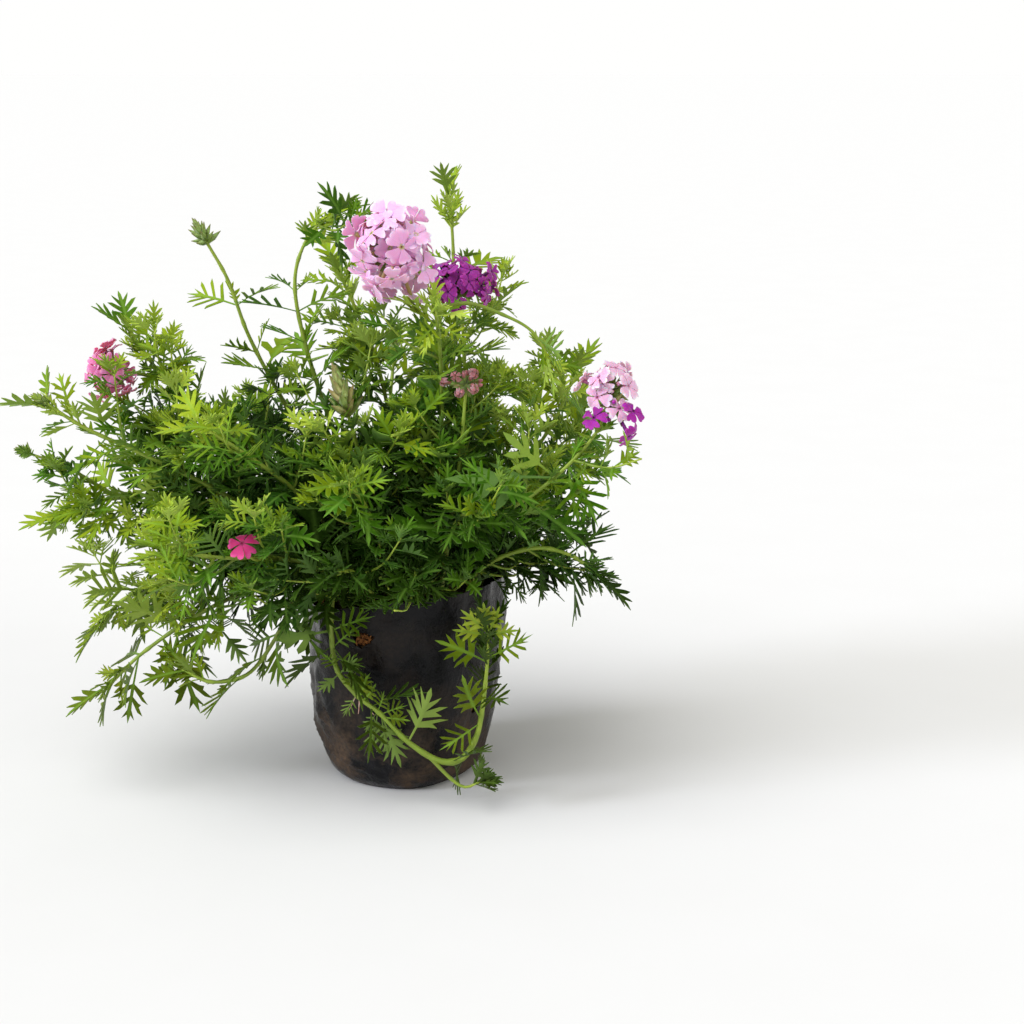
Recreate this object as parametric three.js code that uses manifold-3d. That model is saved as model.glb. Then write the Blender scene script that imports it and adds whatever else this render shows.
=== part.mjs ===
// A trailing verbena growing in a black polythene nursery bag. Millimetres, +Z up.
// The origin is the middle of the bag's flat bottom. The fullest side of the plant faces -Y.
//
// The bag, the soil, each leafy stem and each flower head are solids of their own. A leafy stem
// carries its branches, its opposite pairs of cut leaves and its buds in one green body, and stands
// in a plain hole in the soil. Florets stand out of the small round core of their head.

import * as THREE from "three";
import { mergeVertices } from "three/addons/utils/BufferGeometryUtils.js";
import Module from "manifold-3d";

const wasm = await Module();
wasm.setup();

// ---------------------------------------------------------------- driving dimensions

const GAP = 0.3; // clear space between two pieces that touch

const BAG = {
  wall: 0.9,
  sides: 20,
  // [height, outer radius], from the flat bottom to the mean height of the rim
  outline: [[0, 38], [6, 44], [22, 47.5], [50, 49], [84, 50.5], [99, 50]],
  rimTilt: 6, // how much higher the rim stands at +X than the mean
  rimSag: 2, // how much it dips where the bag is pressed wide
  slack: 0.13, // how much the foot draws in at -X, where the film hangs empty
  taper: 0.19, // how much the foot draws in at +X, evenly from the rim
  widerFoot: 0.03, // how much wider the foot is along X
  // Soft upright folds: [how many round the bag, where they start, their depth for the radius, and how
  // far they drift round from the foot to the rim].
  folds: [[3, 0.8, 0.018, 1], [5, 2.2, 0.016, -2]],
  holeRadius: 3.2,
  holes: [[-110, 83], [184, 37], [-35, 40], [80, 40]], // [bearing, height] of each drain hole
};

const SOIL = { gap: 0.8, edge: 87, crown: 92, lump: 1.1 };

// Stems are square, as verbena's are. socket is the clear room round one in what it stands in.
const STEM = { side: 2.3, branchSide: 1.7, socket: 0.35, stepsPerPoint: 1.25, fewestSteps: 5 };

const LEAF = {
  thickness: 0.8,
  fold: 0.28, // how far each half rises for its width
  roll: 90, // degrees that the leaves turn about their midribs, in all
  pitch: 62, // degrees between a leaf and the stem's tip
  tipPitch: 32,
  tipShare: 0.66, // length of a leaf at a stem's tip against one lower down
  broadShare: 0.22, // how many of the lower leaves are broad ones
  lastPair: 0.97, // how far along its stem the last pair may stand
  tuftSunk: 1.3, // how far down from a stem's end the leaves of its tuft start
  offAxis: 0.5, // how far off the middle of the stem a leaf starts
  lightPull: 1.2, // how much a face turns up to the light, against facing along the stem
  clearOfFloor: 2,
};

// A floret's tube has that radius, and its face dips by dish. flare is how far below the face the tube
// opens and notch how far in the petals part, for a petal's length. broaden is how far a petal's corners
// stand apart. seat is how far a head's middle stands off its stem's end, and foot how far out its
// florets start, for the core's radius. first places the floret nearest to the head's middle.
const FLORET = {
  petals: 5, tube: 1.2, flare: 0.42, dish: 1.2, notch: 0.5, broaden: 0.42, vary: 0.12,
  seat: 0.5, foot: 0.5, first: 0.3,
};

// Half outlines of a leaf 1 long: [along the midrib, away from it], from the stalk to the last notch.
const CUT_LEAF = [[0, 0.024], [0.33, 0.032], [0.58, 0.34], [0.48, 0.055], [0.85, 0.26], [0.71, 0.05]];
const BROAD_LEAF = [[0, 0.026], [0.36, 0.06], [0.62, 0.28], [0.6, 0.11]];
const YOUNG_LEAF = [[0, 0.036], [0.32, 0.055], [0.71, 0.34], [0.56, 0.075]];

// Where a leaf that would touch another piece is turned to, in degrees, and then how it is shortened.
const TURNS = [0, 22, -22, 44, -44, 66, -66];
const TILTS = [0, 20, -20];
const SHARES = [1, 0.8];

// Each leafy stem: the points that it grows through, from its foot in the soil to its tip. pairs is
// its number of leaf pairs, from where they start, leaf their length, turn the bearing of the first
// pair, tip the number of leaves at its end, and bud the length of a bud there. A branch starts at a
// share of the stem's way, and head says that a flower head stands on an end.
const STEMS = [
  {
    name: "stem_front_trailing",
    route: [
      [-24, -27, 79], [-28, -36, 100], [-31, -45, 105], [-32, -50, 91], [-30, -51, 70], [-20, -54, 57],
      [-9, -57, 49], [4, -60, 36], [19, -60, 26], [30, -58, 26], [37, -56, 36], [40, -55, 49], [42, -54, 66],
      [43, -54, 80], [43, -56, 91],
    ],
    pairs: 4, from: 0.22, leaf: 31, turn: 35, tip: 3,
    branches: [{
      at: 0.6, route: [[25, -61, 17], [32, -62, 13], [39, -62, 16]],
      pairs: 0, leaf: 18, turn: 0, tip: 2,
    }],
  },
  {
    name: "stem_left_low",
    route: [
      [-33, -20, 79], [-41, -29, 102], [-51, -38, 100], [-60, -42, 82], [-74, -43, 64], [-92, -43, 60],
      [-106, -41, 66],
    ],
    pairs: 2, from: 0.45, leaf: 34, turn: 10, tip: 2, branches: [],
  },
  {
    name: "stem_left_drooping",
    route: [
      [-36, -10, 79], [-48, -17, 102], [-66, -24, 104], [-96, -30, 92], [-126, -33, 72], [-145, -34, 54],
    ],
    pairs: 3, from: 0.36, leaf: 38, turn: 80, tip: 2, branches: [],
  },
  {
    name: "stem_left_sweeping",
    route: [
      [-28, -4, 79], [-46, -6, 106], [-76, -10, 118], [-108, -14, 112], [-138, -16, 94], [-150, -16, 82],
    ],
    pairs: 2, from: 0.4, leaf: 38, turn: 40, tip: 2, branches: [],
  },
  {
    name: "stem_left_reaching",
    route: [[-26, 6, 79], [-48, 8, 114], [-84, 8, 134], [-120, 4, 142], [-152, 0, 140], [-170, -2, 134]],
    pairs: 3, from: 0.3, leaf: 38, turn: 70, tip: 2,
    branches: [{
      at: 0.78, route: [[-165, -4, 158], [-184, -6, 166]],
      pairs: 0, leaf: 20, turn: 0, tip: 0, bud: 9,
    }],
  },
  {
    name: "stem_left_budding",
    route: [
      [-19, -15, 79], [-46, -22, 122], [-84, -28, 150], [-120, -32, 170], [-148, -34, 184],
      [-166, -34, 196],
    ],
    pairs: 3, from: 0.3, leaf: 37, turn: 15, tip: 2, bud: 10, branches: [],
  },
  {
    name: "stem_rose",
    route: [[-14, 2, 79], [-42, 0, 128], [-76, -4, 166], [-104, -6, 192], [-121, -8, 212], [-131, -8, 228]],
    pairs: 2, from: 0.4, leaf: 34, turn: 50, tip: 2,
    branches: [{
      at: 0.84, route: [[-126, -14, 207], [-134, -17, 208]],
      pairs: 0, leaf: 20, turn: 0, tip: 0, head: true,
    }],
  },
  {
    name: "stem_tall_bud",
    route: [[-8, 11, 79], [-32, 14, 140], [-58, 16, 184], [-76, 16, 220], [-85, 14, 248], [-95, 12, 268]],
    pairs: 3, from: 0.3, leaf: 32, turn: 0, tip: 0, bud: 13, branches: [],
  },
  {
    name: "stem_left_middle",
    route: [[-12, -19, 79], [-28, -30, 124], [-48, -40, 154], [-70, -48, 174], [-90, -52, 188]],
    pairs: 2, from: 0.3, leaf: 37, turn: 30, tip: 2, branches: [],
  },
  {
    name: "stem_left_front",
    route: [[-20, -34, 79], [-27, -43, 108], [-48, -60, 126], [-78, -70, 130], [-102, -74, 134]],
    pairs: 2, from: 0.4, leaf: 36, turn: 60, tip: 2,
    branches: [{
      at: 0.55, route: [[-63, -74, 130], [-67, -78, 134]],
      pairs: 0, leaf: 20, turn: 0, tip: 0, head: true,
    }],
  },
  {
    name: "stem_front_left",
    route: [[-10, -36, 79], [-13, -48, 106], [-19, -64, 121], [-26, -78, 126]],
    pairs: 1, from: 0.4, leaf: 31, turn: 10, tip: 2, branches: [],
  },
  {
    name: "stem_front_middle",
    route: [[4, -36, 79], [6, -42, 102], [9, -62, 120], [10, -76, 122]],
    pairs: 1, from: 0.4, leaf: 31, turn: 45, tip: 2, branches: [],
  },
  {
    name: "stem_front_upright",
    route: [[-3, -27, 79], [-8, -42, 125], [-14, -58, 152], [-22, -70, 166]],
    pairs: 2, from: 0.3, leaf: 35, turn: 25, tip: 2, branches: [],
  },
  {
    name: "stem_spent_flower",
    route: [[-4, -12, 79], [-10, -24, 130], [-18, -34, 170], [-24, -38, 196]],
    pairs: 2, from: 0.3, leaf: 35, turn: 75, tip: 0, bud: 15, branches: [],
  },
  {
    name: "stem_pale_pink",
    route: [[10, -14, 79], [16, -22, 130], [21, -31, 185], [20, -39, 232], [14, -43, 256], [3, -49, 268]],
    pairs: 2, from: 0.28, leaf: 34, turn: 20, tip: 0, head: true,
    branches: [
      {
        at: 0.8, route: [[34, -46, 245], [50, -47, 240], [64, -48, 232], [73, -48, 217]],
        pairs: 1, leaf: 28, turn: 60, tip: 2,
      },
    ],
  },
  {
    name: "stem_purple",
    route: [[19, 2, 79], [27, 5, 140], [31, 7, 192], [30, 7, 230], [28, 6, 242]],
    pairs: 2, from: 0.22, leaf: 35, turn: 65, tip: 0, head: true, branches: [],
  },
  {
    name: "stem_hooked",
    route: [
      [-6, -2, 79], [-20, -4, 140], [-37, -8, 190], [-47, -10, 228], [-49, -12, 254], [-41, -14, 274],
      [-29, -15, 283],
    ],
    pairs: 3, from: 0.28, leaf: 32, turn: 35, tip: 2, branches: [],
  },
  {
    name: "stem_plume",
    route: [[3, 8, 79], [-2, 12, 150], [-12, 14, 205], [-22, 10, 234], [-30, 6, 254]],
    pairs: 3, from: 0.25, leaf: 34, turn: 80, tip: 2, branches: [],
  },
  {
    name: "stem_faded_pink",
    route: [[16, -24, 79], [24, -36, 130], [30, -44, 172], [33, -46, 204]],
    pairs: 2, from: 0.28, leaf: 34, turn: 5, tip: 0, head: true, branches: [],
  },
  {
    name: "stem_right_flower",
    route: [
      [20, -31, 79], [21, -42, 112], [30, -58, 146], [51, -60, 150], [74, -61, 166], [93, -61, 187],
      [99, -60, 204],
    ],
    pairs: 3, from: 0.34, leaf: 38, turn: 50, tip: 0, head: true, branches: [],
  },
  {
    name: "stem_right_low",
    route: [[30, -22, 79], [34, -30, 106], [46, -45, 122], [66, -56, 131], [83, -56, 127], [96, -53, 116]],
    pairs: 2, from: 0.4, leaf: 34, turn: 20, tip: 2, branches: [],
  },
  {
    name: "stem_right_middle",
    route: [[29, -9, 79], [44, -15, 126], [60, -20, 160], [76, -24, 188], [84, -26, 208]],
    pairs: 2, from: 0.3, leaf: 36, turn: 45, tip: 2, branches: [],
  },
  {
    name: "stem_right_back",
    route: [[33, 8, 79], [50, 16, 124], [70, 22, 158], [88, 24, 182]],
    pairs: 2, from: 0.3, leaf: 36, turn: 10, tip: 2, branches: [],
  },
  {
    name: "stem_back_tall",
    route: [[13, 20, 79], [20, 28, 150], [25, 32, 215], [25, 34, 262], [23, 34, 290]],
    pairs: 3, from: 0.24, leaf: 33, turn: 55, tip: 2, branches: [],
  },
  {
    name: "stem_back_left",
    route: [[-19, 21, 79], [-40, 40, 124], [-62, 58, 152], [-82, 72, 172]],
    pairs: 2, from: 0.3, leaf: 36, turn: 30, tip: 2, branches: [],
  },
  {
    name: "stem_back_left_low",
    route: [[-31, 22, 79], [-42, 35, 108], [-64, 56, 112], [-88, 76, 96]],
    pairs: 1, from: 0.4, leaf: 35, turn: 70, tip: 2, branches: [],
  },
  {
    name: "stem_left_back",
    route: [[-37, 8, 79], [-54, 24, 118], [-90, 38, 144], [-124, 44, 160]],
    pairs: 2, from: 0.36, leaf: 37, turn: 0, tip: 2, branches: [],
  },
  {
    name: "stem_back_middle",
    route: [[-4, 26, 79], [-8, 44, 132], [-10, 62, 172], [-8, 76, 204]],
    pairs: 2, from: 0.3, leaf: 36, turn: 60, tip: 2, bud: 9, branches: [],
  },
  {
    name: "stem_back_middle_low",
    route: [[2, 38, 79], [4, 48, 106], [8, 72, 114], [12, 95, 100]],
    pairs: 1, from: 0.4, leaf: 34, turn: 15, tip: 2, branches: [],
  },
  {
    name: "stem_back_right",
    route: [[18, 29, 79], [30, 42, 124], [52, 62, 160], [66, 72, 184]],
    pairs: 2, from: 0.3, leaf: 36, turn: 45, tip: 2, branches: [],
  },
  {
    name: "stem_back_right_low",
    route: [[33, 18, 79], [40, 24, 106], [66, 46, 120], [92, 64, 106]],
    pairs: 1, from: 0.4, leaf: 34, turn: 75, tip: 2, branches: [],
  },
];

// Each flower head stands on the end of a stem or of one of its branches, or against another head.
// facing is the way that it looks, reach how far its florets' faces are from its middle, petal a
// floret's radius, and spread how far from facing its outermost floret looks, in degrees.
const HEADS = [
  {
    name: "head_pale_pink", on: "stem_pale_pink", colour: "#eda6d6",
    facing: [-0.45, -0.85, 0.2], core: 7, reach: 20, petal: 9.2, florets: 12, spread: 112,
  },
  {
    name: "head_purple", on: "stem_purple", colour: "#8a0f9a",
    facing: [0.15, -0.4, 0.9], core: 6, reach: 18, petal: 7.2, florets: 10, spread: 88,
  },
  {
    name: "head_rose", on: "stem_rose", branch: 0, colour: "#d6559f",
    facing: [-0.75, -0.5, -0.1], core: 6, reach: 14, petal: 6.8, florets: 9, spread: 112,
  },
  {
    name: "head_right_pale", on: "stem_right_flower", colour: "#e7a6cb",
    facing: [-0.1, -0.35, 0.93], core: 5, reach: 14, petal: 7.4, florets: 6, spread: 84,
  },
  {
    name: "head_right_magenta", against: "head_right_pale", colour: "#a80fa8",
    facing: [0.1, -0.78, -0.62], core: 3, reach: 10, petal: 7, florets: 3, spread: 60,
  },
  {
    name: "head_faded_pink", on: "stem_faded_pink", colour: "#c56f83",
    facing: [0.1, -0.4, 0.9], core: 4.5, reach: 10, petal: 5, florets: 5, spread: 80,
  },
  {
    name: "head_hot_pink", on: "stem_left_front", branch: 0, colour: "#e02a78",
    facing: [-0.1, -0.95, 0.2], core: 3.4, reach: 8, petal: 7.6, florets: 1, spread: 0,
  },
];

const COLOURS = { stem: "#4f7d2a", bag: "#15161a", soil: "#3a271b" };

// ---------------------------------------------------------------- helpers

const radians = THREE.MathUtils.degToRad;
const UP = new THREE.Vector3(0, 0, 1);
const OUT = new THREE.Vector3(0, 1, 0); // the way that a turned bud or floret points before it is placed
const GOLDEN_ANGLE = radians(137.5);
const SIDEWAYS = new THREE.Vector3(0.31, 0.93, 0.2); // no stem runs this way

// A repeatable draw from 0 to 1 for the k-th choice of the thing numbered seed.
function draw(seed, k) {
  const wave = Math.sin(seed * 127.1 + k * 311.7) * 43758.5453;
  return wave - Math.floor(wave);
}

function solid(geometry) {
  const bare = geometry.index ? geometry.clone() : geometry;
  for (const name of ["normal", "uv"]) bare.deleteAttribute(name);
  const merged = mergeVertices(bare, 1e-4);
  return new wasm.Manifold(
    new wasm.Mesh({
      numProp: 3,
      vertProperties: new Float32Array(merged.attributes.position.array),
      triVerts: new Uint32Array(merged.index.array),
    }),
  );
}

function geometryOf(shape) {
  const mesh = shape.getMesh();
  return new THREE.BufferGeometry()
    .setAttribute("position", new THREE.BufferAttribute(new Float32Array(mesh.vertProperties), 3))
    .setIndex(new THREE.BufferAttribute(new Uint32Array(mesh.triVerts), 1));
}

// The biggest body of a shape: what a cut leaves loose is dropped.
function whole(shape) {
  return shape.decompose().reduce((most, body) => (body.volume() > most.volume() ? body : most));
}

function named(name, shape, colour, roughness) {
  const material = new THREE.MeshStandardMaterial({ color: colour, roughness, metalness: 0 });
  const mesh = new THREE.Mesh(geometryOf(whole(shape)), material);
  mesh.name = name;
  return mesh;
}

// Moves each vertex of a geometry to what move makes of it.
function reshape(geometry, move) {
  const place = geometry.attributes.position;
  const point = new THREE.Vector3();
  for (let i = 0; i < place.count; i++) {
    point.fromBufferAttribute(place, i);
    move(point);
    place.setXYZ(i, point.x, point.y, point.z);
  }
  return geometry;
}

function curve(points) {
  return new THREE.CatmullRomCurve3(points.map((p) => new THREE.Vector3(...p)), false, "catmullrom", 0.5);
}

// A square rod along a stem's or branch's path.
function rodGeometry(axis, side) {
  const half = side / 2;
  const section = new THREE.Shape([
    new THREE.Vector2(-half, -half), new THREE.Vector2(half, -half),
    new THREE.Vector2(half, half), new THREE.Vector2(-half, half),
  ]);
  return new THREE.ExtrudeGeometry(section, { steps: axis.steps, extrudePath: axis.path, bevelEnabled: false });
}

// The room that a stem needs in what it stands in: end is 0 for its foot and 1 for its tip.
function socketFor(axis, end) {
  const deeper = axis.path.getTangent(end).multiplyScalar(end === 0 ? -STEM.socket : STEM.socket);
  const room = rodGeometry(axis, axis.side + 2 * STEM.socket);
  return solid(room.translate(deeper.x, deeper.y, deeper.z));
}

// ---------------------------------------------------------------- bag and soil

// Gathers and slumps a round form as the thin bag does: soft upright folds, a foot that is pressed wide
// and draws in at both ends, and a rim that runs up and down.
function slump(point) {
  const bearing = Math.atan2(point.y, point.x);
  const share = point.z / BAG.outline[BAG.outline.length - 1][0];
  let wider = 1 + BAG.widerFoot * Math.cos(2 * bearing) * (1 - share);
  wider -= 0.5 * BAG.slack * (1 - Math.cos(bearing)) * Math.max(0, 1 - 3 * share);
  wider -= BAG.taper * Math.cos(bearing / 2) ** 4 * Math.max(0, 1 - share) ** 1.5;
  for (const [count, start, depth, drift] of BAG.folds) {
    wider += depth * Math.sin(count * bearing + start + drift * share);
  }
  const rise = BAG.rimTilt * Math.cos(bearing) - Math.sin(bearing) - BAG.rimSag * Math.cos(2 * bearing);
  point.x *= wider;
  point.y *= wider;
  point.z += rise * share ** 3;
}

function turned(profile) {
  const points = profile.map(([height, radius]) => new THREE.Vector2(radius, height));
  return new THREE.LatheGeometry(points, BAG.sides).rotateX(Math.PI / 2);
}

function makeBag() {
  const inside = BAG.outline.map(([height, radius]) => [Math.max(height, BAG.wall), radius - BAG.wall]);
  const profile = [[0, 0], ...BAG.outline, ...inside.reverse(), [BAG.wall, 0]];
  let shell = solid(reshape(turned(profile), slump));
  for (const [bearing, height] of BAG.holes) {
    const punch = new THREE.CylinderGeometry(BAG.holeRadius, BAG.holeRadius, 14, 8)
      .rotateZ(Math.PI / 2)
      .translate(47, 0, height)
      .rotateZ(radians(bearing));
    shell = shell.subtract(solid(punch));
  }
  return shell;
}

function makeSoil(axes) {
  const skin = BAG.wall + SOIL.gap;
  const side = BAG.outline
    .filter(([height]) => height <= SOIL.edge)
    .map(([height, radius]) => [Math.max(height, skin), radius - skin]);
  const rim = side[side.length - 1][1];
  const top = [[SOIL.edge + 2, rim * 0.8], [SOIL.crown - 1, rim * 0.45], [SOIL.crown, 0]];
  const mass = reshape(turned([[skin, 0], ...side, ...top]), (point) => {
    if (point.z > SOIL.edge) point.z += SOIL.lump * Math.sin(point.x / 6) * Math.cos(point.y / 5);
    slump(point);
  });
  return axes.reduce((soil, axis) => soil.subtract(socketFor(axis, 0)), solid(mass));
}

// ---------------------------------------------------------------- stems

// A stem or branch, with its path and the number of straight lengths that it is made of.
function axisOf(growth, route, side) {
  const steps = Math.max(STEM.fewestSteps, Math.round((route.length - 1) * STEM.stepsPerPoint));
  return { from: 0.6, ...growth, route, side, steps, path: curve(route) };
}

// What grows from a stem stands where two of its straight lengths meet, the nearest to a share of it.
function joint(axis, share) {
  return Math.round(share * axis.steps) / axis.steps;
}

function axesOf(stem) {
  const main = axisOf(stem, stem.route, STEM.side);
  const branches = stem.branches.map((branch) => {
    const start = main.path.getPointAt(joint(main, branch.at));
    return axisOf(branch, [start.toArray(), ...branch.route], STEM.branchSide);
  });
  return [main, ...branches];
}

// A slim bud on the end of a stem, along its last direction.
function bud(axis) {
  const tip = axis.path.getPoint(1);
  const ahead = new THREE.Quaternion().setFromUnitVectors(OUT, axis.path.getTangent(1));
  const profile = [[0, -0.15], [0.26, 0.1], [0.2, 0.55], [0, 0.85]];
  const points = profile.map(([radius, height]) => new THREE.Vector2(radius * axis.bud, height * axis.bud));
  return solid(new THREE.LatheGeometry(points, 6).applyQuaternion(ahead).translate(tip.x, tip.y, tip.z));
}

function makeStem(stem) {
  let shape = solid(rodGeometry(stem.axes[0], STEM.side));
  for (const axis of stem.axes.slice(1)) shape = shape.add(solid(rodGeometry(axis, axis.side)));
  for (const axis of stem.axes.filter((one) => one.bud)) shape = shape.add(bud(axis));
  return shape;
}

// ---------------------------------------------------------------- leaves

// Everything that is in place so far, so that the next leaf keeps clear of it.
const placed = [];

function place(owner, shape, isWood = false) {
  placed.push({ owner, shape, isWood, box: shape.boundingBox() });
}

function near(a, b) {
  return [0, 1, 2].every((k) => a.min[k] <= b.max[k] && b.min[k] <= a.max[k]);
}

// 0 if a leaf is clear of everything, 1 if it only meets leaves of its own stem, and 2 otherwise.
function crossing(owner, leaf) {
  const box = leaf.boundingBox();
  let worst = box.min[2] < LEAF.clearOfFloor ? 2 : 0;
  for (const other of placed) {
    if (worst === 2) break;
    const own = other.owner === owner;
    if (own && (other.isWood || worst === 1)) continue;
    if (near(box, other.box) && !leaf.intersect(other.shape).isEmpty()) worst = own ? 1 : 2;
  }
  return worst;
}

// A leaf's own frame at its foot: along its midrib, across it and out of its upper face.
function leafFrame(path, leaf, turn, tilt) {
  const ahead = path.getTangentAt(leaf.at);
  const right = new THREE.Vector3().crossVectors(ahead, SIDEWAYS).normalize();
  const front = new THREE.Vector3().crossVectors(ahead, right);
  const bearing = leaf.bearing + radians(turn);
  const pitch = leaf.pitch + radians(tilt);
  const out = right.multiplyScalar(Math.cos(bearing)).addScaledVector(front, Math.sin(bearing));
  const along = ahead.clone().multiplyScalar(Math.cos(pitch)).addScaledVector(out, Math.sin(pitch));
  const face = ahead.clone().addScaledVector(UP, LEAF.lightPull);
  face.addScaledVector(along, -face.dot(along)).normalize().applyAxisAngle(along, leaf.roll);
  const across = new THREE.Vector3().crossVectors(face, along);
  const foot = path.getPointAt(leaf.at).addScaledVector(ahead, -leaf.sunk).addScaledVector(out, LEAF.offAxis);
  return new THREE.Matrix4().makeBasis(along, across, face).setPosition(foot);
}

// A thin arched blade, cut in towards its midrib. droop is how far its tip comes down for its length.
function blade(leaf, length, thickness) {
  const left = leaf.half.map(([u, v]) => [u, -v]).reverse();
  const outline = [...leaf.half, [1, 0], ...left].map(([u, v]) => new THREE.Vector2(u * length, v * length));
  const flat = new THREE.ExtrudeGeometry(new THREE.Shape(outline), { depth: thickness, bevelEnabled: false });
  return reshape(flat, (point) => {
    const u = point.x / length;
    point.z += LEAF.fold * Math.abs(point.y) - leaf.droop * length * u * u - thickness / 2;
  });
}

// Grows one leaf in the first place that is clear, or touching its own stem's leaves, or not at all.
function growLeaf(owner, path, leaf) {
  let second = null;
  for (const size of SHARES) {
    for (const tilt of TILTS) {
      for (const turn of TURNS) {
        const frame = leafFrame(path, leaf, turn, tilt);
        const shaped = (thickness) => solid(blade(leaf, leaf.length * size, thickness).applyMatrix4(frame));
        const met = crossing(owner, shaped(LEAF.thickness + 2 * GAP));
        if (met === 0) return shaped(LEAF.thickness);
        if (met === 1 && !second) second = shaped(LEAF.thickness);
      }
    }
  }
  return second;
}

// The leaves of a stem or branch: opposite pairs, each a quarter turn from the last, and a tuft.
function leavesOf(seed, axis) {
  const leaves = [];
  for (let k = 0; k < axis.pairs; k++) {
    for (const side of [0, 1]) {
      const n = leaves.length;
      const lower = 1 - k / axis.pairs;
      leaves.push({
        at: joint(axis, axis.from + ((LEAF.lastPair - axis.from) * (k + 0.3)) / axis.pairs),
        sunk: 0,
        bearing: radians(axis.turn + 90 * k + 180 * side + 16 * (draw(seed, n) - 0.5)),
        pitch: radians(LEAF.pitch + 14 * (draw(seed, n + 50) - 0.5)),
        roll: radians(LEAF.roll * (draw(seed, n + 100) - 0.5)),
        length: axis.leaf * (0.72 + 0.2 * lower + 0.22 * draw(seed, n + 150)),
        droop: 0.08 + 0.24 * draw(seed, n + 200),
        half: draw(seed, n + 250) < LEAF.broadShare ? BROAD_LEAF : CUT_LEAF,
      });
    }
  }
  for (let k = 0; k < axis.tip; k++) {
    leaves.push({
      at: 1,
      sunk: LEAF.tuftSunk,
      bearing: radians(axis.turn + 40 + (360 / axis.tip) * k),
      pitch: radians(LEAF.tipPitch + 14 * (draw(seed, k + 300) - 0.5)),
      roll: radians(LEAF.roll * (draw(seed, k + 350) - 0.5)),
      length: axis.leaf * LEAF.tipShare,
      droop: 0.06 + 0.12 * draw(seed, k + 400),
      half: YOUNG_LEAF,
    });
  }
  return leaves;
}

// ---------------------------------------------------------------- flower heads

// One floret: a slender five-sided tube that opens into five broad petals. A turned form has three
// points a petal at its rim, of which one draws in to part it from the next.
function floret(foot, reach, petal) {
  const throat = reach - FLORET.flare * petal;
  const profile = [[0, foot], [FLORET.tube, throat], [petal, reach], [0, reach - FLORET.dish]];
  const points = profile.map(([radius, height]) => new THREE.Vector2(radius, height));
  return reshape(new THREE.LatheGeometry(points, 3 * FLORET.petals), (point) => {
    const radius = Math.hypot(point.x, point.z);
    const turn = (2 * Math.PI) / (3 * FLORET.petals);
    const place = Math.round(Math.atan2(point.x, point.z) / turn) + 3 * FLORET.petals;
    const step = place % 3;
    const isRim = radius > petal / 2;
    const shift = isRim ? [0, -FLORET.broaden, FLORET.broaden][step] : 1 - step;
    const reached = isRim && step === 0 ? radius * FLORET.notch : radius;
    point.x = Math.sin((place + shift) * turn) * reached;
    point.z = Math.cos((place + shift) * turn) * reached;
    if (isRim && step === 0) point.y -= FLORET.dish;
  });
}

function seatOf(head) {
  const stem = stems.find((one) => one.name === head.on);
  return stem.axes[head.branch === undefined ? 0 : head.branch + 1];
}

function middleOf(head) {
  if (head.against) {
    const other = HEADS.find((one) => one.name === head.against);
    const way = new THREE.Vector3(...head.facing).normalize();
    return middleOf(other).addScaledVector(way, other.core + GAP + head.core);
  }
  const path = seatOf(head).path;
  return path.getPoint(1).addScaledVector(path.getTangent(1), head.core * FLORET.seat);
}

function makeHead(head) {
  const middle = middleOf(head);
  const facing = new THREE.Quaternion().setFromUnitVectors(OUT, new THREE.Vector3(...head.facing).normalize());
  const set = (geometry) => solid(geometry.applyQuaternion(facing).translate(middle.x, middle.y, middle.z));
  let bloom = set(new THREE.IcosahedronGeometry(head.core, 0));
  for (let k = 0; k < head.florets; k++) {
    const away = Math.acos(1 - ((1 - Math.cos(radians(head.spread))) * (k + FLORET.first)) / head.florets);
    const bearing = GOLDEN_ANGLE * k;
    const flat = Math.sin(away);
    const way = new THREE.Vector3(flat * Math.cos(bearing), Math.cos(away), flat * Math.sin(bearing));
    const turn = new THREE.Quaternion().setFromUnitVectors(OUT, way);
    const petal = head.petal * (1 - FLORET.vary * draw(k, 7));
    bloom = bloom.add(set(floret(head.core * FLORET.foot, head.reach, petal).applyQuaternion(turn)));
  }
  if (head.against) return bloom;
  const stem = stems.find((one) => one.name === head.on);
  const boxOf = (axis) => solid(rodGeometry(axis, axis.side)).boundingBox();
  const touching = stem.axes.filter((axis) => near(boxOf(axis), bloom.boundingBox()));
  return touching.reduce((left, axis) => left.subtract(socketFor(axis, 1)), bloom);
}

// ---------------------------------------------------------------- the plant

const stems = STEMS.map((stem) => ({ ...stem, axes: axesOf(stem) }));
const bag = makeBag();
const soil = makeSoil(stems.map((stem) => stem.axes[0]));
const heads = HEADS.map((head) => ({ ...head, shape: makeHead(head) }));
place("grow_bag", bag);
place("soil", soil);
for (const head of heads) place(head.name, head.shape);
for (const stem of stems) {
  stem.shape = makeStem(stem);
  place(stem.name, stem.shape, true);
}
for (const [row, stem] of stems.entries()) {
  for (const [n, axis] of stem.axes.entries()) {
    for (const leaf of leavesOf(10 * row + n, axis)) {
      const grown = growLeaf(stem.name, axis.path, leaf);
      if (!grown) continue;
      place(stem.name, grown);
      stem.shape = stem.shape.add(grown);
    }
  }
}

const verbena = new THREE.Group();
verbena.add(named("grow_bag", bag, COLOURS.bag, 0.35));
verbena.add(named("soil", soil, COLOURS.soil, 0.95));
for (const stem of stems) verbena.add(named(stem.name, stem.shape, COLOURS.stem, 0.6));
for (const head of heads) verbena.add(named(head.name, head.shape, head.colour, 0.55));

export default verbena;
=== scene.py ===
"""A potted verbena: trailing, finely cut foliage and flower heads in a black polythene nursery bag.

Lengths and places are in millimetres and +Z is up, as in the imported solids, until a finished piece
is scaled to metres. The origin is the middle of the bag's flat bottom, and the fullest side of the
plant faces -Y. Every piece stands for one solid and keeps its form: the bag, the potting mix, each
leafy stem and each flower head. Leaves stand where the solids' leaves do, with more between them.
"""

import math
import random

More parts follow.
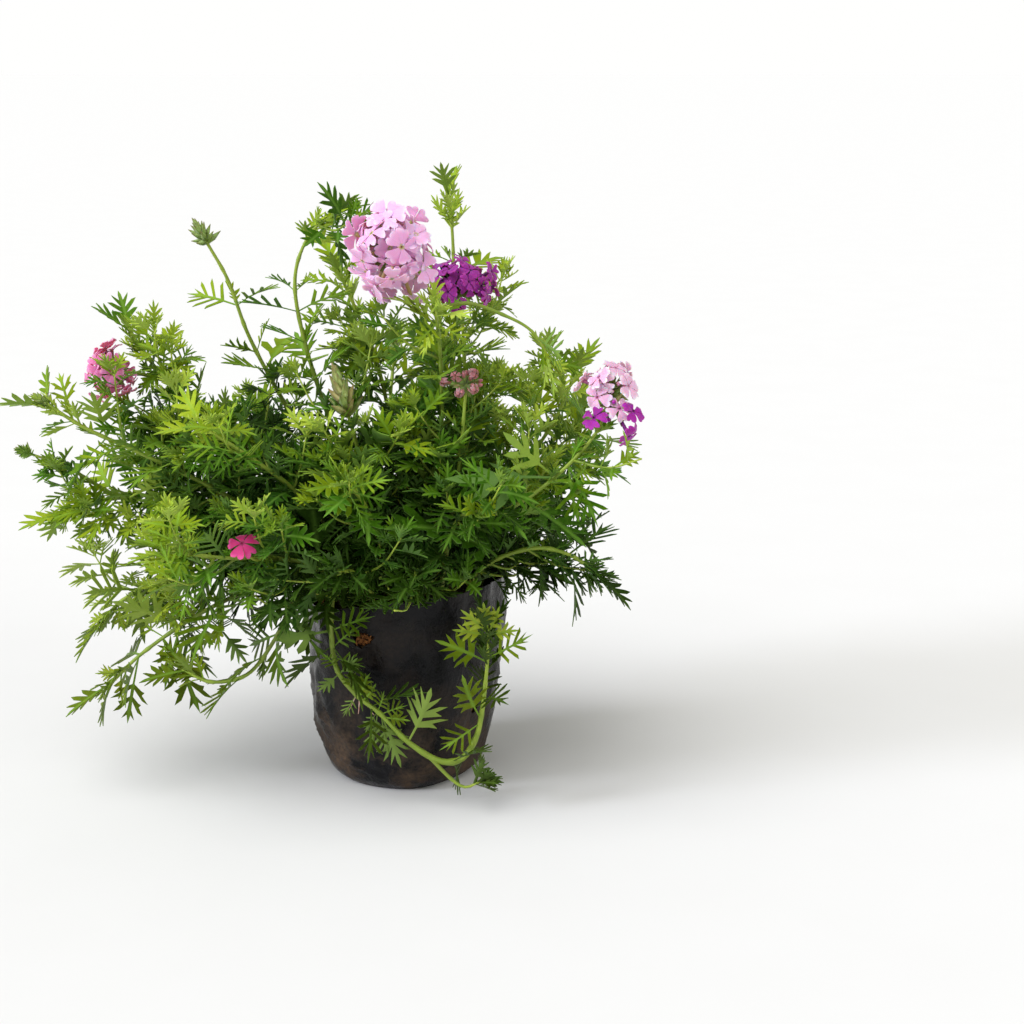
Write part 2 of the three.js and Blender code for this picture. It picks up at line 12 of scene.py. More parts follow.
import bmesh
import bpy
from mathutils import Matrix, Quaternion, Vector, kdtree, noise


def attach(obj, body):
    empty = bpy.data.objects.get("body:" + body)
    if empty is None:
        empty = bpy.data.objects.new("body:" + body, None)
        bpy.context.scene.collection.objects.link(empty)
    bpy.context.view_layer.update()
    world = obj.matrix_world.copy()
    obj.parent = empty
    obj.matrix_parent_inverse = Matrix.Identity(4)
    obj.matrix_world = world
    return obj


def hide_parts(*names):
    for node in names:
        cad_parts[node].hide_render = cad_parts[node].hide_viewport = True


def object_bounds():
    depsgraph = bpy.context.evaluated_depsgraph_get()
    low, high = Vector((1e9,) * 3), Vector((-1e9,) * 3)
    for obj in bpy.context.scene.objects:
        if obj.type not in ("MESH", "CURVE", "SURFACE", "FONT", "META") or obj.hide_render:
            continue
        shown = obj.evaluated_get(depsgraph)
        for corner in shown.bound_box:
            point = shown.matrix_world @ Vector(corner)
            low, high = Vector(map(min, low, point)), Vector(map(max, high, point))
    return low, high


bl_info = {
    "name": "Potted Verbena",
    "version": (1, 0, 0),
    "blender": (4, 5, 0),
    "location": "3D View > Sidebar > Verbena",
    "description": "Builds a flowering verbena in its nursery bag around the packed solids",
    "category": "Object",
}

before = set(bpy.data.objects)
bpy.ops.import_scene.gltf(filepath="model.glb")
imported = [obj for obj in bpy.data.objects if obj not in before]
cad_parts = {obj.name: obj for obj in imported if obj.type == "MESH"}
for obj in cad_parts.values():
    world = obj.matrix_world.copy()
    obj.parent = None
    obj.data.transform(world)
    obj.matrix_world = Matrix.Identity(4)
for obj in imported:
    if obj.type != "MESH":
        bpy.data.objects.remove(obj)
CAD_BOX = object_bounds()

MM = 0.001
UP = Vector((0, 0, 1))
OUT = Vector((0, 1, 0))  # the way that a bud or floret points before it is placed
SIDEWAYS = Vector((0.31, 0.93, 0.2))  # no stem runs this way
GOLDEN_ANGLE = math.radians(137.5)

# ---------------------------------------------------------------- the bag and the potting mix

# [radius, height] of the bag's outside, from the flat bottom to the mean height of its rim.
BAG_OUTLINE = [(38, 0), (44, 6), (47.5, 22), (49, 50), (50.5, 84), (50, 99)]
BAG_TOP = BAG_OUTLINE[-1][1]
RIM_TILT = 6
RIM_SAG = 2
FOOT_SLACK = 0.13  # how much the foot draws in at -X, where the film hangs empty
FOOT_TAPER = 0.19  # how much the foot draws in at +X, evenly from the rim
BAG_ROWS = 62
BAG_STEPS = 150

SOIL_EDGE = 87
SOIL_CROWN = 92
SOIL_RADIUS = 46
# [radius, height] of the outside of the potting mix before it slumps, from its bottom to its crown.
SOIL_OUTLINE = [
    (0, 2), (34, 2), (41, 7), (45, 22), (46.6, 50), (47.6, 70), (48, 82), (47.2, 86), (40, 88.4),
    (30, 90.2), (16, 91.6), (0, SOIL_CROWN),
]
SOIL_SHOULDER = 80  # above this height is the crumbled surface
SOIL_STEPS = 96
CRUMBS = 260
FIBRES = 34

# Holes in the film: [bearing in degrees, height, half width, half height, raggedness]. The first is
# torn, and the others are punched for drainage.
HOLES = [
    (-110, 83, 4.8, 4, 0.34),
    (184, 37, 3.1, 3.1, 0.06),
    (-35, 40, 3.1, 3.1, 0.06),
    (80, 40, 3.1, 3.1, 0.06),
]
HOLE_RADIUS = 49  # the bag's radius where its holes are

# Creases pressed into the film: [(bearing, height) of each end, half width, height of the ridge].
CREASE_RADIUS = 48  # the bag's radius where its creases are
CREASES = [
    ((-150, 62), (-118, 16), 4.5, 1.2),
    ((-170, 50), (-128, 28), 2.6, 1.2),
    ((-166, 38), (-136, 36), 2.4, 1.4),
    ((-172, 30), (-140, 16), 3, 1.3),
    ((-176, 60), (-150, 44), 2.6, 1.2),
    ((-142, 80), (-128, 66), 3, 0.8),
    ((-162, 21), (-98, 7), 1.8, 1.4),
    ((-96, 8), (-48, 13), 1.4, 1.1),
    ((-70, 60), (-38, 44), 5, 0.7),
    ((-60, 88), (-30, 70), 4, 0.8),
    ((-20, 66), (8, 40), 4.5, 1),
    ((30, 82), (58, 48), 5, 1),
    ((70, 30), (112, 42), 4, 1),
    ((120, 84), (136, 50), 4, 1.1),
    ((150, 24), (186, 46), 4.5, 1.1),
]

# ---------------------------------------------------------------- leaves, petals and stems

# Half outlines of a blade 1 long: (along the midrib, away from it), from its foot to its last notch.
CUT_LEAF = [
    (0, 0.013), (0.27, 0.016), (0.355, 0.11), (0.37, 0.25), (0.42, 0.165), (0.565, 0.335), (0.485, 0.155),
    (0.385, 0.028), (0.46, 0.026), (0.55, 0.135), (0.59, 0.24), (0.62, 0.15), (0.77, 0.27), (0.675, 0.115),
    (0.575, 0.026), (0.72, 0.08), (0.89, 0.16), (0.735, 0.028), (0.88, 0.036),
]
FINE_LEAF = [
    (0, 0.011), (0.24, 0.014), (0.365, 0.17), (0.42, 0.3), (0.425, 0.17), (0.315, 0.02), (0.41, 0.02),
    (0.55, 0.18), (0.655, 0.32), (0.61, 0.17), (0.465, 0.02), (0.56, 0.02), (0.71, 0.14), (0.83, 0.235),
    (0.77, 0.12), (0.625, 0.02), (0.9, 0.1), (0.77, 0.026),
]
LONG_LEAF = [
    (0, 0.011), (0.4, 0.014), (0.49, 0.12), (0.49, 0.19), (0.54, 0.155), (0.65, 0.27), (0.58, 0.115),
    (0.475, 0.022), (0.59, 0.022), (0.675, 0.1), (0.68, 0.165), (0.725, 0.135), (0.84, 0.21),
    (0.765, 0.085), (0.66, 0.022), (0.79, 0.028), (0.93, 0.09), (0.87, 0.026),
]
BROAD_LEAF = [
    (0, 0.018), (0.26, 0.022), (0.4, 0.11), (0.46, 0.21), (0.62, 0.3), (0.6, 0.17), (0.5, 0.08),
    (0.58, 0.065), (0.7, 0.13), (0.83, 0.19), (0.77, 0.08), (0.88, 0.055),
]
YOUNG_LEAF = [
    (0, 0.026), (0.24, 0.03), (0.39, 0.17), (0.47, 0.29), (0.47, 0.15), (0.42, 0.04), (0.57, 0.17),
    (0.71, 0.31), (0.66, 0.15), (0.56, 0.035), (0.76, 0.12), (0.89, 0.18), (0.74, 0.04), (0.88, 0.035),
]
SMALL_LEAF = [
    (0, 0.03), (0.3, 0.035), (0.46, 0.18), (0.6, 0.29), (0.5, 0.04), (0.7, 0.12), (0.86, 0.19),
    (0.72, 0.045),
]
PALM_LEAF = [
    (0, 0.012), (0.3, 0.018), (0.345, 0.085), (0.43, 0.2), (0.56, 0.31), (0.5, 0.17), (0.43, 0.04),
    (0.5, 0.032), (0.575, 0.13), (0.76, 0.23), (0.68, 0.1), (0.62, 0.032), (0.74, 0.058), (0.88, 0.045),
]
# Each kind of leaf: its outline, and how many points its midrib has to bend at.
LEAVES = dict(
    cut=(CUT_LEAF, 3),
    fine=(FINE_LEAF, 3),
    long=(LONG_LEAF, 3),
    broad=(BROAD_LEAF, 3),
    young=(YOUNG_LEAF, 2),
    small=(SMALL_LEAF, 1),
    palm=(PALM_LEAF, 3),
)
BLUNTNESS = 0.42  # how far the sides of a leaf's lobe are carried out towards its tip
LEAF_FOLD = 0.28  # how much a leaf's halves rise from its midrib, for each unit across
LEAF_DROOP = (0.05, 0.46)
HANGING_DROOP = (0.25, 0.7)
# Points of a blade that need room, which stand for its whole outline.
LEAF_MARKS = [(1, 0), (0.6, 0.34), (0.6, -0.34), (0.8, 0.27), (0.8, -0.27), (0.5, 0), (0.25, 0)]

PETAL = [
    (0, 0.08), (0.2, 0.14), (0.42, 0.26), (0.62, 0.38), (0.8, 0.44), (0.94, 0.39), (1, 0.25),
    (0.965, 0.09),
]
PETAL_THICKNESS = 0.34

# The middle and half widths of the dense crown. Leaves are close in its heart and coloured dark there,
# as older leaves and as painted shade, and bright and sparse outside.
CROWN_MIDDLE = Vector((-32, -5, 150))
CROWN_REACH = Vector((125, 80, 78))

# The front of the film stays in view. None but the trailing stem's leaves stand between its sides,
# nearer than its face and below its fringe, which rises by a share of the way to -Y.
FRONT_SIDES = (-26, 50)
FRONT_FACE = -40
FRINGE = 86.5
FRINGE_RISE = 0.25

# Stretches of stem that stay in view from -Y: [an end, the other end, how far leaves keep off].
CLEARINGS = [((37, -48, 106), (62, -70, 126), 9), ((22, -44, 250), (60, -48, 236), 8)]

# The way that the upper face of a single leaf looks, by the face of it that shows to -Y.
SHOWN = dict(upper=(0, -1, 0.5), back=(0, 1, -0.5), back_edgeways=(0, 0.45, -0.9))

# Where materials stand in the pieces' lists. A leafy stem's list starts with the leaves' material.
BARK, CALYX, ROOTLET = 1, 2, 3
PETALS, HEAD_GREEN = 0, 1
COIR = 1

# How thick stems are, and how far apart what grows on them stands.
STEM_SIDE = 2.3
BRANCH_SIDE = 1.7
SHOOT_SIDE = 1.1
LEAF_SPACING = 10
BRISTLE_SPACING = 2.4

# Each leafy stem: the points that it grows through, from its foot in the soil to its tip, as its
# solid has them. pairs is its solid's number of leaf pairs, from where they start, leaf their
# length, turn the bearing of the first pair, tip the number of leaves at its end, and bud the length
# of a bud there. A branch starts at a share of the stem's way, and bears a flower head or bud alone
# unless it says more. fill is how thickly leaves stand between the solid's and shoots how many side
# shoots it has. hangs gives it long drooping leaves, and trails lets it pass before the film. bark is
# how green its foot is, swell how much its lower bend thickens, and spent says that its bud is over.
# roots are rootlets: [share, way, length], and placed are single leaves that stand out: [share, way,
# length, outline, tone, the face that shows].
STEMS = [
    dict(
        name="stem_front_trailing",
        route=[
            (-24, -27, 79), (-28, -36, 100), (-31, -45, 105), (-32, -50, 91), (-30, -51, 70),
            (-20, -54, 57), (-9, -57, 49), (4, -60, 36), (19, -60, 26), (30, -58, 26), (37, -56, 36),
            (40, -55, 49), (42, -54, 66), (43, -54, 80), (43, -56, 91),
        ],
        pairs=4, start=0.22, leaf=31, turn=35, tip=3, trails=True, fill=0, bark=0.45, swell=0.45,
        roots=[(0.4, (-0.5, -0.3, -0.8), 9), (0.41, (-0.1, -0.3, -1), 8), (0.44, (0.4, -0.3, -0.8), 5)],
        placed=[
            (0.13, (-0.75, -0.45, 0.45), 24, "fine", 0.4, "upper"),
            (0.14, (-0.3, -0.4, 0.85), 24, "cut", 0.5, "upper"),
            (0.13, (0.7, -0.35, 0.6), 22, "fine", 0.45, "upper"),
            (0.18, (-0.9, -0.35, -0.3), 25, "cut", 0.3, "back"),
            (0.24, (0.85, -0.3, 0.45), 23, "fine", 0.5, "upper"),
            (0.24, (-0.95, -0.25, -0.1), 27, "broad", 0.55, "back"),
            (0.28, (0.6, -0.25, 0.7), 19, "fine", 0.25, "upper"),
            (0.3, (0.75, -0.25, -0.2), 16, "fine", 0.25, "upper"),
            (0.33, (-0.35, -0.4, 0.8), 14, "fine", 0.4, "upper"),
            (0.34, (-0.7, -0.4, -0.6), 13, "young", 0.4, "back"),
            (0.34, (0.6, -0.45, 0.6), 14, "young", 0.35, "back"),
            (0.4, (0.45, -0.35, 0.85), 17, "fine", 0.45, "upper"),
            (0.39, (0.02, -0.4, 0.9), 15, "young", 0.5, "upper"),
            (0.41, (0.28, -0.4, 0.9), 17, "young", 0.6, "upper"),
            (0.42, (0.6, -0.4, 0.7), 14, "young", 0.45, "upper"),
            (0.4, (-0.5, -0.4, -0.75), 12, "fine", 0.4, "back"),
            (0.46, (-0.55, -0.3, -0.75), 12, "fine", 0.35, "back"),
            (0.46, (-0.1, -0.3, -0.95), 18, "fine", 0.3, "back"),
            (0.47, (0.16, -0.35, -0.95), 20, "fine", 0.35, "back"),
            (0.47, (0.42, -0.3, -0.9), 27, "cut", 0.35, "back"),
            (0.46, (0.35, -0.4, 0.85), 15, "fine", 0.3, "upper"),
            (0.47, (0.8, -0.4, 0.5), 15, "fine", 0.3, "upper"),
            (0.48, (0.9, -0.4, 0.05), 13, "young", 0.35, "upper"),
            (0.555, (0.46, -0.25, 0.88), 35, "cut", 0.75, "back"),
            (0.78, (-0.8, -0.35, -0.5), 23, "fine", 0.5, "upper"),
            (0.79, (-0.42, -0.3, 0.86), 29, "cut", 0.6, "upper"),
            (0.92, (-0.8, -0.3, 0.55), 28, "cut", 0.6, "upper"),
            (0.93, (0.85, -0.3, 0.5), 25, "fine", 0.65, "upper"),
            (0.985, (-0.95, -0.25, 0.25), 17, "young", 0.95, "upper"),
            (0.99, (-0.6, -0.3, 0.75), 18, "young", 1, "upper"),
            (0.995, (-0.1, -0.3, 0.95), 18, "young", 1, "upper"),
            (0.99, (0.45, -0.3, 0.85), 17, "young", 0.95, "upper"),
            (0.985, (0.92, -0.25, 0.3), 15, "young", 0.9, "upper"),
        ],
        branch=dict(
            at=0.6, route=[(25, -61, 17), (32, -62, 13), (39, -62, 16)],
            leaf=18, tip=2,
        ),
    ),
    dict(
        name="stem_left_low", bark=0, fill=0.75, shoots=0.5, hangs=True,
        route=[
            (-33, -20, 79), (-41, -29, 102), (-51, -38, 100), (-60, -42, 82), (-74, -43, 64),
            (-92, -43, 60), (-106, -41, 66),
        ],
        pairs=2, start=0.45, leaf=34, turn=10, tip=2,
    ),
    dict(
        name="stem_left_drooping", bark=0, fill=0.75, shoots=0.5, hangs=True,
        placed=[
            (0.68, (0.12, -0.1, -0.98), 44, "long", 0.25, "upper"),
            (0.66, (-0.3, -0.25, -0.9), 32, "long", 0.3, "upper"),
            (0.84, (-0.2, -0.2, -0.95), 34, "long", 0.3, "upper"),
        ],
        route=[
            (-36, -10, 79), (-48, -17, 102), (-66, -24, 104), (-96, -30, 92), (-126, -33, 72),
            (-145, -34, 54),
        ],
        pairs=3, start=0.36, leaf=38, turn=80, tip=2,
    ),
    dict(
        name="stem_left_sweeping", bark=0.1, fill=1.4, hangs=True,
        route=[
            (-28, -4, 79), (-46, -6, 106), (-76, -10, 118), (-108, -14, 112), (-138, -16, 94),
            (-150, -16, 82),
        ],
        pairs=2, start=0.4, leaf=38, turn=40, tip=2,
    ),
    dict(
        name="stem_left_reaching", fill=1.4,
        route=[(-26, 6, 79), (-48, 8, 114), (-84, 8, 134), (-120, 4, 142), (-152, 0, 140), (-170, -2, 134)],
        pairs=3, start=0.3, leaf=38, turn=70, tip=2,
        branch=dict(at=0.78, route=[(-165, -4, 158), (-184, -6, 166)], bud=9),
    ),
    dict(
        name="stem_left_budding",
        route=[
            (-19, -15, 79), (-46, -22, 122), (-84, -28, 150), (-120, -32, 170), (-148, -34, 184),
            (-166, -34, 196),
        ],
        pairs=3, start=0.3, leaf=37, turn=15, tip=2, bud=10,
    ),
    dict(
        name="stem_rose",
        route=[
            (-14, 2, 79), (-42, 0, 128), (-76, -4, 166), (-104, -6, 192), (-121, -8, 212),
            (-131, -8, 228),
        ],
        pairs=2, start=0.4, leaf=34, turn=50, tip=2,
        branch=dict(at=0.84, route=[(-126, -14, 207), (-134, -17, 208)]),
    ),
    dict(
        name="stem_tall_bud",
        route=[
            (-8, 11, 79), (-32, 14, 140), (-58, 16, 184), (-76, 16, 220), (-85, 14, 248), (-95, 12, 268),
        ],
        pairs=3, start=0.3, leaf=32, turn=0, bud=15, fill=0.5, shoots=0.3,
    ),
    dict(
        name="stem_left_middle",
        route=[(-12, -19, 79), (-28, -30, 124), (-48, -40, 154), (-70, -48, 174), (-90, -52, 188)],
        pairs=2, start=0.3, leaf=37, turn=30, tip=2,
    ),
    dict(
        name="stem_left_front", fill=1.3,
        route=[(-20, -34, 79), (-27, -43, 108), (-48, -60, 126), (-78, -70, 130), (-102, -74, 134)],
        pairs=2, start=0.4, leaf=36, turn=60, tip=2,
        branch=dict(at=0.55, route=[(-63, -74, 130), (-67, -78, 134)]),
    ),
    dict(
        name="stem_front_left",
        route=[(-10, -36, 79), (-13, -48, 106), (-19, -64, 121), (-26, -78, 126)],
        pairs=1, start=0.4, leaf=31, turn=10, tip=2,
    ),
    dict(
        name="stem_front_middle",
        route=[(4, -36, 79), (6, -42, 102), (9, -62, 120), (10, -76, 122)],
        pairs=1, start=0.4, leaf=31, turn=45, tip=2,
    ),
    dict(
        name="stem_front_upright",
        route=[(-3, -27, 79), (-8, -42, 125), (-14, -58, 152), (-22, -70, 166)],
        pairs=2, start=0.3, leaf=35, turn=25, tip=2,
    ),
    dict(
        name="stem_spent_flower", spent=True,
        route=[(-4, -12, 79), (-10, -24, 130), (-18, -34, 170), (-24, -38, 196)],
        pairs=2, start=0.3, leaf=35, turn=75, bud=15,
    ),
    dict(
        name="stem_pale_pink",
        route=[
            (10, -14, 79), (16, -22, 130), (21, -31, 185), (20, -39, 232), (14, -43, 256), (3, -49, 268),
        ],
        pairs=2, start=0.28, leaf=34, turn=20,
        branch=dict(
            at=0.8, route=[(34, -46, 245), (50, -47, 240), (64, -48, 232), (73, -48, 217)],
            pairs=1, leaf=28, turn=60, tip=2,
        ),
    ),
    dict(
        name="stem_purple",
        route=[(19, 2, 79), (27, 5, 140), (31, 7, 192), (30, 7, 230), (28, 6, 242)],
        pairs=2, start=0.22, leaf=35, turn=65,
    ),
    dict(
        name="stem_hooked", fill=0.5, shoots=0.25,
        route=[
            (-6, -2, 79), (-20, -4, 140), (-37, -8, 190), (-47, -10, 228), (-49, -12, 254),
            (-41, -14, 274), (-29, -15, 283),
        ],
        pairs=3, start=0.28, leaf=32, turn=35, tip=2,
    ),
    dict(
        name="stem_plume", fill=0.8, shoots=0.6,
        route=[(3, 8, 79), (-2, 12, 150), (-12, 14, 205), (-22, 10, 234), (-30, 6, 254)],
        pairs=3, start=0.25, leaf=34, turn=80, tip=2,
    ),
    dict(
        name="stem_faded_pink",
        route=[(16, -24, 79), (24, -36, 130), (30, -44, 172), (33, -46, 204)],
        pairs=2, start=0.28, leaf=34, turn=5,
    ),
    dict(
        name="stem_right_flower",
        route=[
            (20, -31, 79), (21, -42, 112), (30, -58, 146), (51, -60, 150), (74, -61, 166),
            (93, -61, 187), (99, -60, 204),
        ],
        pairs=3, start=0.34, leaf=38, turn=50,
        placed=[
            (0.73, (-0.98, -0.17, 0.08), 50, "palm", 0.35, "back_edgeways"),
            (0.73, (-0.72, -0.2, 0.66), 32, "palm", 0.75, "back"),
            (0.78, (0.08, -0.2, -0.95), 30, "fine", 0.55, "upper"),
            (0.78, (0.5, -0.2, -0.85), 32, "fine", 0.5, "upper"),
        ],
    ),
    dict(
        name="stem_right_low",
        route=[
            (30, -22, 79), (34, -30, 106), (46, -45, 122), (66, -56, 131), (83, -56, 127),
            (96, -53, 116),
        ],
        pairs=2, start=0.4, leaf=34, turn=20, tip=2,
    ),
    dict(
        name="stem_right_middle",
        route=[(29, -9, 79), (44, -15, 126), (60, -20, 160), (76, -24, 188), (84, -26, 208)],
        pairs=2, start=0.3, leaf=36, turn=45, tip=2,
    ),
    dict(
        name="stem_right_back",
        route=[(33, 8, 79), (50, 16, 124), (70, 22, 158), (88, 24, 182)],
        pairs=2, start=0.3, leaf=36, turn=10, tip=2,
    ),
    dict(
        name="stem_back_tall",
        route=[(13, 20, 79), (20, 28, 150), (25, 32, 215), (25, 34, 262), (23, 34, 290)],
        pairs=3, start=0.24, leaf=33, turn=55, tip=2,
    ),
    dict(
        name="stem_back_left",
        route=[(-19, 21, 79), (-40, 40, 124), (-62, 58, 152), (-82, 72, 172)],
        pairs=2, start=0.3, leaf=36, turn=30, tip=2,
    ),
    dict(
        name="stem_back_left_low",
        route=[(-31, 22, 79), (-42, 35, 108), (-64, 56, 112), (-88, 76, 96)],
        pairs=1, start=0.4, leaf=35, turn=70, tip=2,
    ),
    dict(
        name="stem_left_back",
        route=[(-37, 8, 79), (-54, 24, 118), (-90, 38, 144), (-124, 44, 160)],
        pairs=2, start=0.36, leaf=37, turn=0, tip=2,
    ),
    dict(
        name="stem_back_middle",
        route=[(-4, 26, 79), (-8, 44, 132), (-10, 62, 172), (-8, 76, 204)],
        pairs=2, start=0.3, leaf=36, turn=60, tip=2, bud=9,
    ),
    dict(
        name="stem_back_middle_low",
        route=[(2, 38, 79), (4, 48, 106), (8, 72, 114), (12, 95, 100)],
        pairs=1, start=0.4, leaf=34, turn=15, tip=2,
    ),
    dict(
        name="stem_back_right",
        route=[(18, 29, 79), (30, 42, 124), (52, 62, 160), (66, 72, 184)],
        pairs=2, start=0.3, leaf=36, turn=45, tip=2,
    ),
    dict(
        name="stem_back_right_low",
        route=[(33, 18, 79), (40, 24, 106), (66, 46, 120), (92, 64, 106)],
        pairs=1, start=0.4, leaf=34, turn=75, tip=2,
    ),
]

# Each flower head stands on the end of a stem or its branch, or against another head. facing is the
# way that it looks, core the radius of the ball in its middle, reach how far its florets' faces are
# from there, petal a floret's radius, and spread how far from facing its outermost floret looks, in
# degrees. between is how many florets stand sunk between the others. bud_spread is the buds' spread,
# and bud_reach how much further out they stand. sleeves are empty and stand behind. wilt curls its
# petals back, and nod is the most that a floret's face is turned, in radians. form is how much
# further than reach the florets stand sideways, above and below. singles are florets that stand by
# themselves: [way, distance, the way that its face looks]. petals names the setting of their colour,
# and edge and eye are the colours of a petal's outer edge and of its foot.
HEADS = [
    dict(
        name="head_pale_pink", on="stem_pale_pink",
        facing=(-0.45, -0.85, 0.2), core=7, reach=19.5, petal=8.8, florets=13, spread=118,
        form=(1, 1, 1.28), nod=0.75, between=20, buds=3, bud_spread=120, sleeves=12,
        petals="pale_pink", edge="#f9d2ee", eye="#b8ad55",
    ),
    dict(
        name="head_purple", on="stem_purple",
        facing=(0.15, -0.4, 0.9), core=6, reach=18, petal=5.6, florets=12, spread=88,
        form=(1.3, 0.78, 0.8), between=22, buds=14, bud_spread=95, bud_reach=1.25, sleeves=18,
        petals="purple", edge="#ad35a6", eye="#4a0850",
    ),
    dict(
        name="head_rose", on="stem_rose", branch=True,
        facing=(-0.75, -0.5, -0.1), core=6, reach=14, petal=6.4, florets=9, spread=112,
        form=(0.9, 1.1, 1.35), between=8, buds=6, bud_spread=90, sleeves=20,
        petals="rose", edge="#f2a3c9", eye="#a94a5e",
    ),
    dict(
        name="head_right_pale", on="stem_right_flower",
        facing=(-0.1, -0.35, 0.93), core=5, reach=14, petal=6.6, florets=6, spread=84,
        singles=[
            ((0.25, -0.8, -0.45), 14, (0.15, -0.75, 0.6)),
            ((-0.55, -0.7, -0.1), 12, (-0.5, -0.8, 0.35)),
        ],
        form=(1.25, 1, 1), between=2, buds=10, bud_spread=85, sleeves=26,
        petals="blush", edge="#fbe4f1", eye="#b9558f",
    ),
    dict(
        name="head_right_magenta", against="head_right_pale",
        facing=(0.1, -0.78, -0.62), core=3, reach=11, petal=6.6,
        singles=[
            ((-0.72, -0.6, -0.35), 14, (-0.35, -0.62, 0.7)),
            ((0.75, -0.55, -0.15), 12, (0.5, -0.45, 0.75)),
            ((0.4, -0.55, -0.75), 18, (0.55, -0.6, -0.6)),
        ],
        wilt=0.12, buds=4, bud_spread=80, sleeves=8,
        petals="magenta", edge="#a325a0", eye="#5d0662",
    ),
    dict(
        name="head_faded_pink", on="stem_faded_pink",
        facing=(0.1, -0.4, 0.9), core=4.5, reach=10, petal=4, florets=5, spread=95,
        form=(1.5, 1.2, 1.3), wilt=0.8, between=1, buds=9, bud_spread=80, sleeves=30,
        petals="faded", edge="#c98a90", eye="#8f6347",
    ),
    dict(
        name="head_hot_pink", on="stem_left_front", branch=True,
        facing=(-0.15, -0.54, 0.83), core=3.4, reach=8, petal=8, florets=1, wilt=0.1, nod=0.1,
        sleeves=6, petals="hot_pink", edge="#e2549a", eye="#7d0f3c",
    ),
]

LIT_PLACE = (0, 0, 0.13)  # where the lamps aim, in metres
FLOOR_REACH = 60  # in metres
VIEW_TARGET = (54.5, 0, 134.5)

# ---------------------------------------------------------------- plain helpers


def linear(code):
    """The linear RGB of an sRGB hex colour."""
    parts = [int(code[k : k + 2], 16) / 255 for k in (1, 3, 5)]
    return tuple(p / 12.92 if p <= 0.04045 else ((p + 0.055) / 1.055) ** 2.4 for p in parts)


def mix(a, b, share):
    return a + (b - a) * share


def draw(seed, k):
    """A repeatable draw from 0 to 1, the same as the solids are drawn with."""
    wave = math.sin(seed * 127.1 + k * 311.7) * 43758.5453
    return wave - math.floor(wave)


def turn_from_out(way):
    return OUT.rotation_difference(Vector(way).normalized()).to_matrix().to_4x4()


def way_from_out(away, bearing):
    """The way at an angle from +Y, at a bearing round it."""
    side = math.sin(away)
    return Vector((side * math.cos(bearing), math.cos(away), side * math.sin(bearing)))


def slid(placing, distance):
    """A placing that is moved along its own +Y."""
    return placing @ Matrix.Translation(OUT * distance)


def turn_between(degrees, bearing):
    """How far a bearing is turned from another that is in degrees, by half a turn at most."""
    return (bearing - math.radians(degrees) + math.pi) % (2 * math.pi) - math.pi


def clamped(value):
    return max(0, min(1, value))


def push_at(place):
    """A push of up to 1 each way that depends on a place, and is the same in every run."""
    return Vector([noise.noise(place + Vector((9.3, -1.5, -8)) * k) for k in (1, 0, -1)])


def new_shape():
    """An empty shape whose points know along, across, tone (old to young, which on leaves also carries
    painted light and shade) and upper or under.
    """
    bm = bmesh.new()
    bm.verts.layers.float_color.new("growth")
    return bm


class Path:
    """A stem's smooth way through its points. Shares are of its length, from 0 to 1."""

    DIVISIONS = 200

    def __init__(self, points):
        self.knots = [Vector(p) for p in points]
        self.knots.insert(0, 2 * self.knots[0] - self.knots[1])
        self.knots.append(2 * self.knots[-1] - self.knots[-2])
        self.reached = [0]
        last = self.at_time(0)
        for k in range(1, self.DIVISIONS + 1):
            here = self.at_time(k / self.DIVISIONS)
            self.reached.append(self.reached[-1] + (here - last).length)
            last = here
        self.length = self.reached[-1]

    def at_time(self, time):
        spans = len(self.knots) - 3
        span = min(int(time * spans), spans - 1)
        w = time * spans - span
        a, b, c, d = self.knots[span : span + 4]
        start, end = (c - a) / 2, (d - b) / 2
        return b + start * w + (3 * (c - b) - 2 * start - end) * w**2 + (2 * (b - c) + start + end) * w**3

    def time_of(self, share):
        target = share * self.length
        k = 0
        high = self.DIVISIONS
        while high - k > 1:
            middle = (k + high) // 2
            if self.reached[middle] <= target:
                k = middle
            else:
                high = middle
        rest = (target - self.reached[k]) / (self.reached[k + 1] - self.reached[k])
        return (k + rest) / self.DIVISIONS

    def at(self, share):
        return self.at_time(self.time_of(share))

    def ahead(self, share):
        time = self.time_of(share)
        return (self.at_time(min(time + 1e-4, 1)) - self.at_time(max(time - 1e-4, 0))).normalized()


# ---------------------------------------------------------------- materials


def feed(tree, node, inputs):
    """Sets inputs, by name or number, to values, or links them from sockets or other nodes."""
    for name, value in inputs.items():
        if isinstance(value, bpy.types.Node):
            value = next(socket for socket in value.outputs if socket.enabled)
        if isinstance(value, bpy.types.NodeSocket):
            tree.links.new(value, node.inputs[name])
        else:
            node.inputs[name].default_value = value


def add(tree, kind, inputs=None, stops=(), **settings):
    """Adds a node with its settings, its ramp's stops and its inputs."""
    node = tree.nodes.new("ShaderNode" + kind)
    for name, value in settings.items():
        setattr(node, name, value)
    for k, (place, colour) in enumerate(stops):
        points = node.color_ramp.elements
        point = points[k] if k < len(points) else points.new(place)
        point.position = place
        point.color = colour
    feed(tree, node, inputs or {})
    return node


def new_material(name, **finish):
    """A material with a Principled shader, whose plain values are set on its own sockets."""
    material = bpy.data.materials.new(name)
    material.use_nodes = True
    tree = material.node_tree
    tree.nodes.clear()
    plain = {key.replace("_", " "): value for key, value in finish.items()}
    shader = add(tree, "BsdfPrincipled", plain)
    add(tree, "OutputMaterial", {"Surface": shader})
    return material, tree, shader


def solid(colour):
    """An opaque colour, of an sRGB hex code or a colour setting."""
    return (*(linear(colour) if isinstance(colour, str) else colour), 1)


def per(grain):
    """The scale of a pattern with patches so many millimetres across, on coordinates in metres."""
    return 1 / (grain * MM)


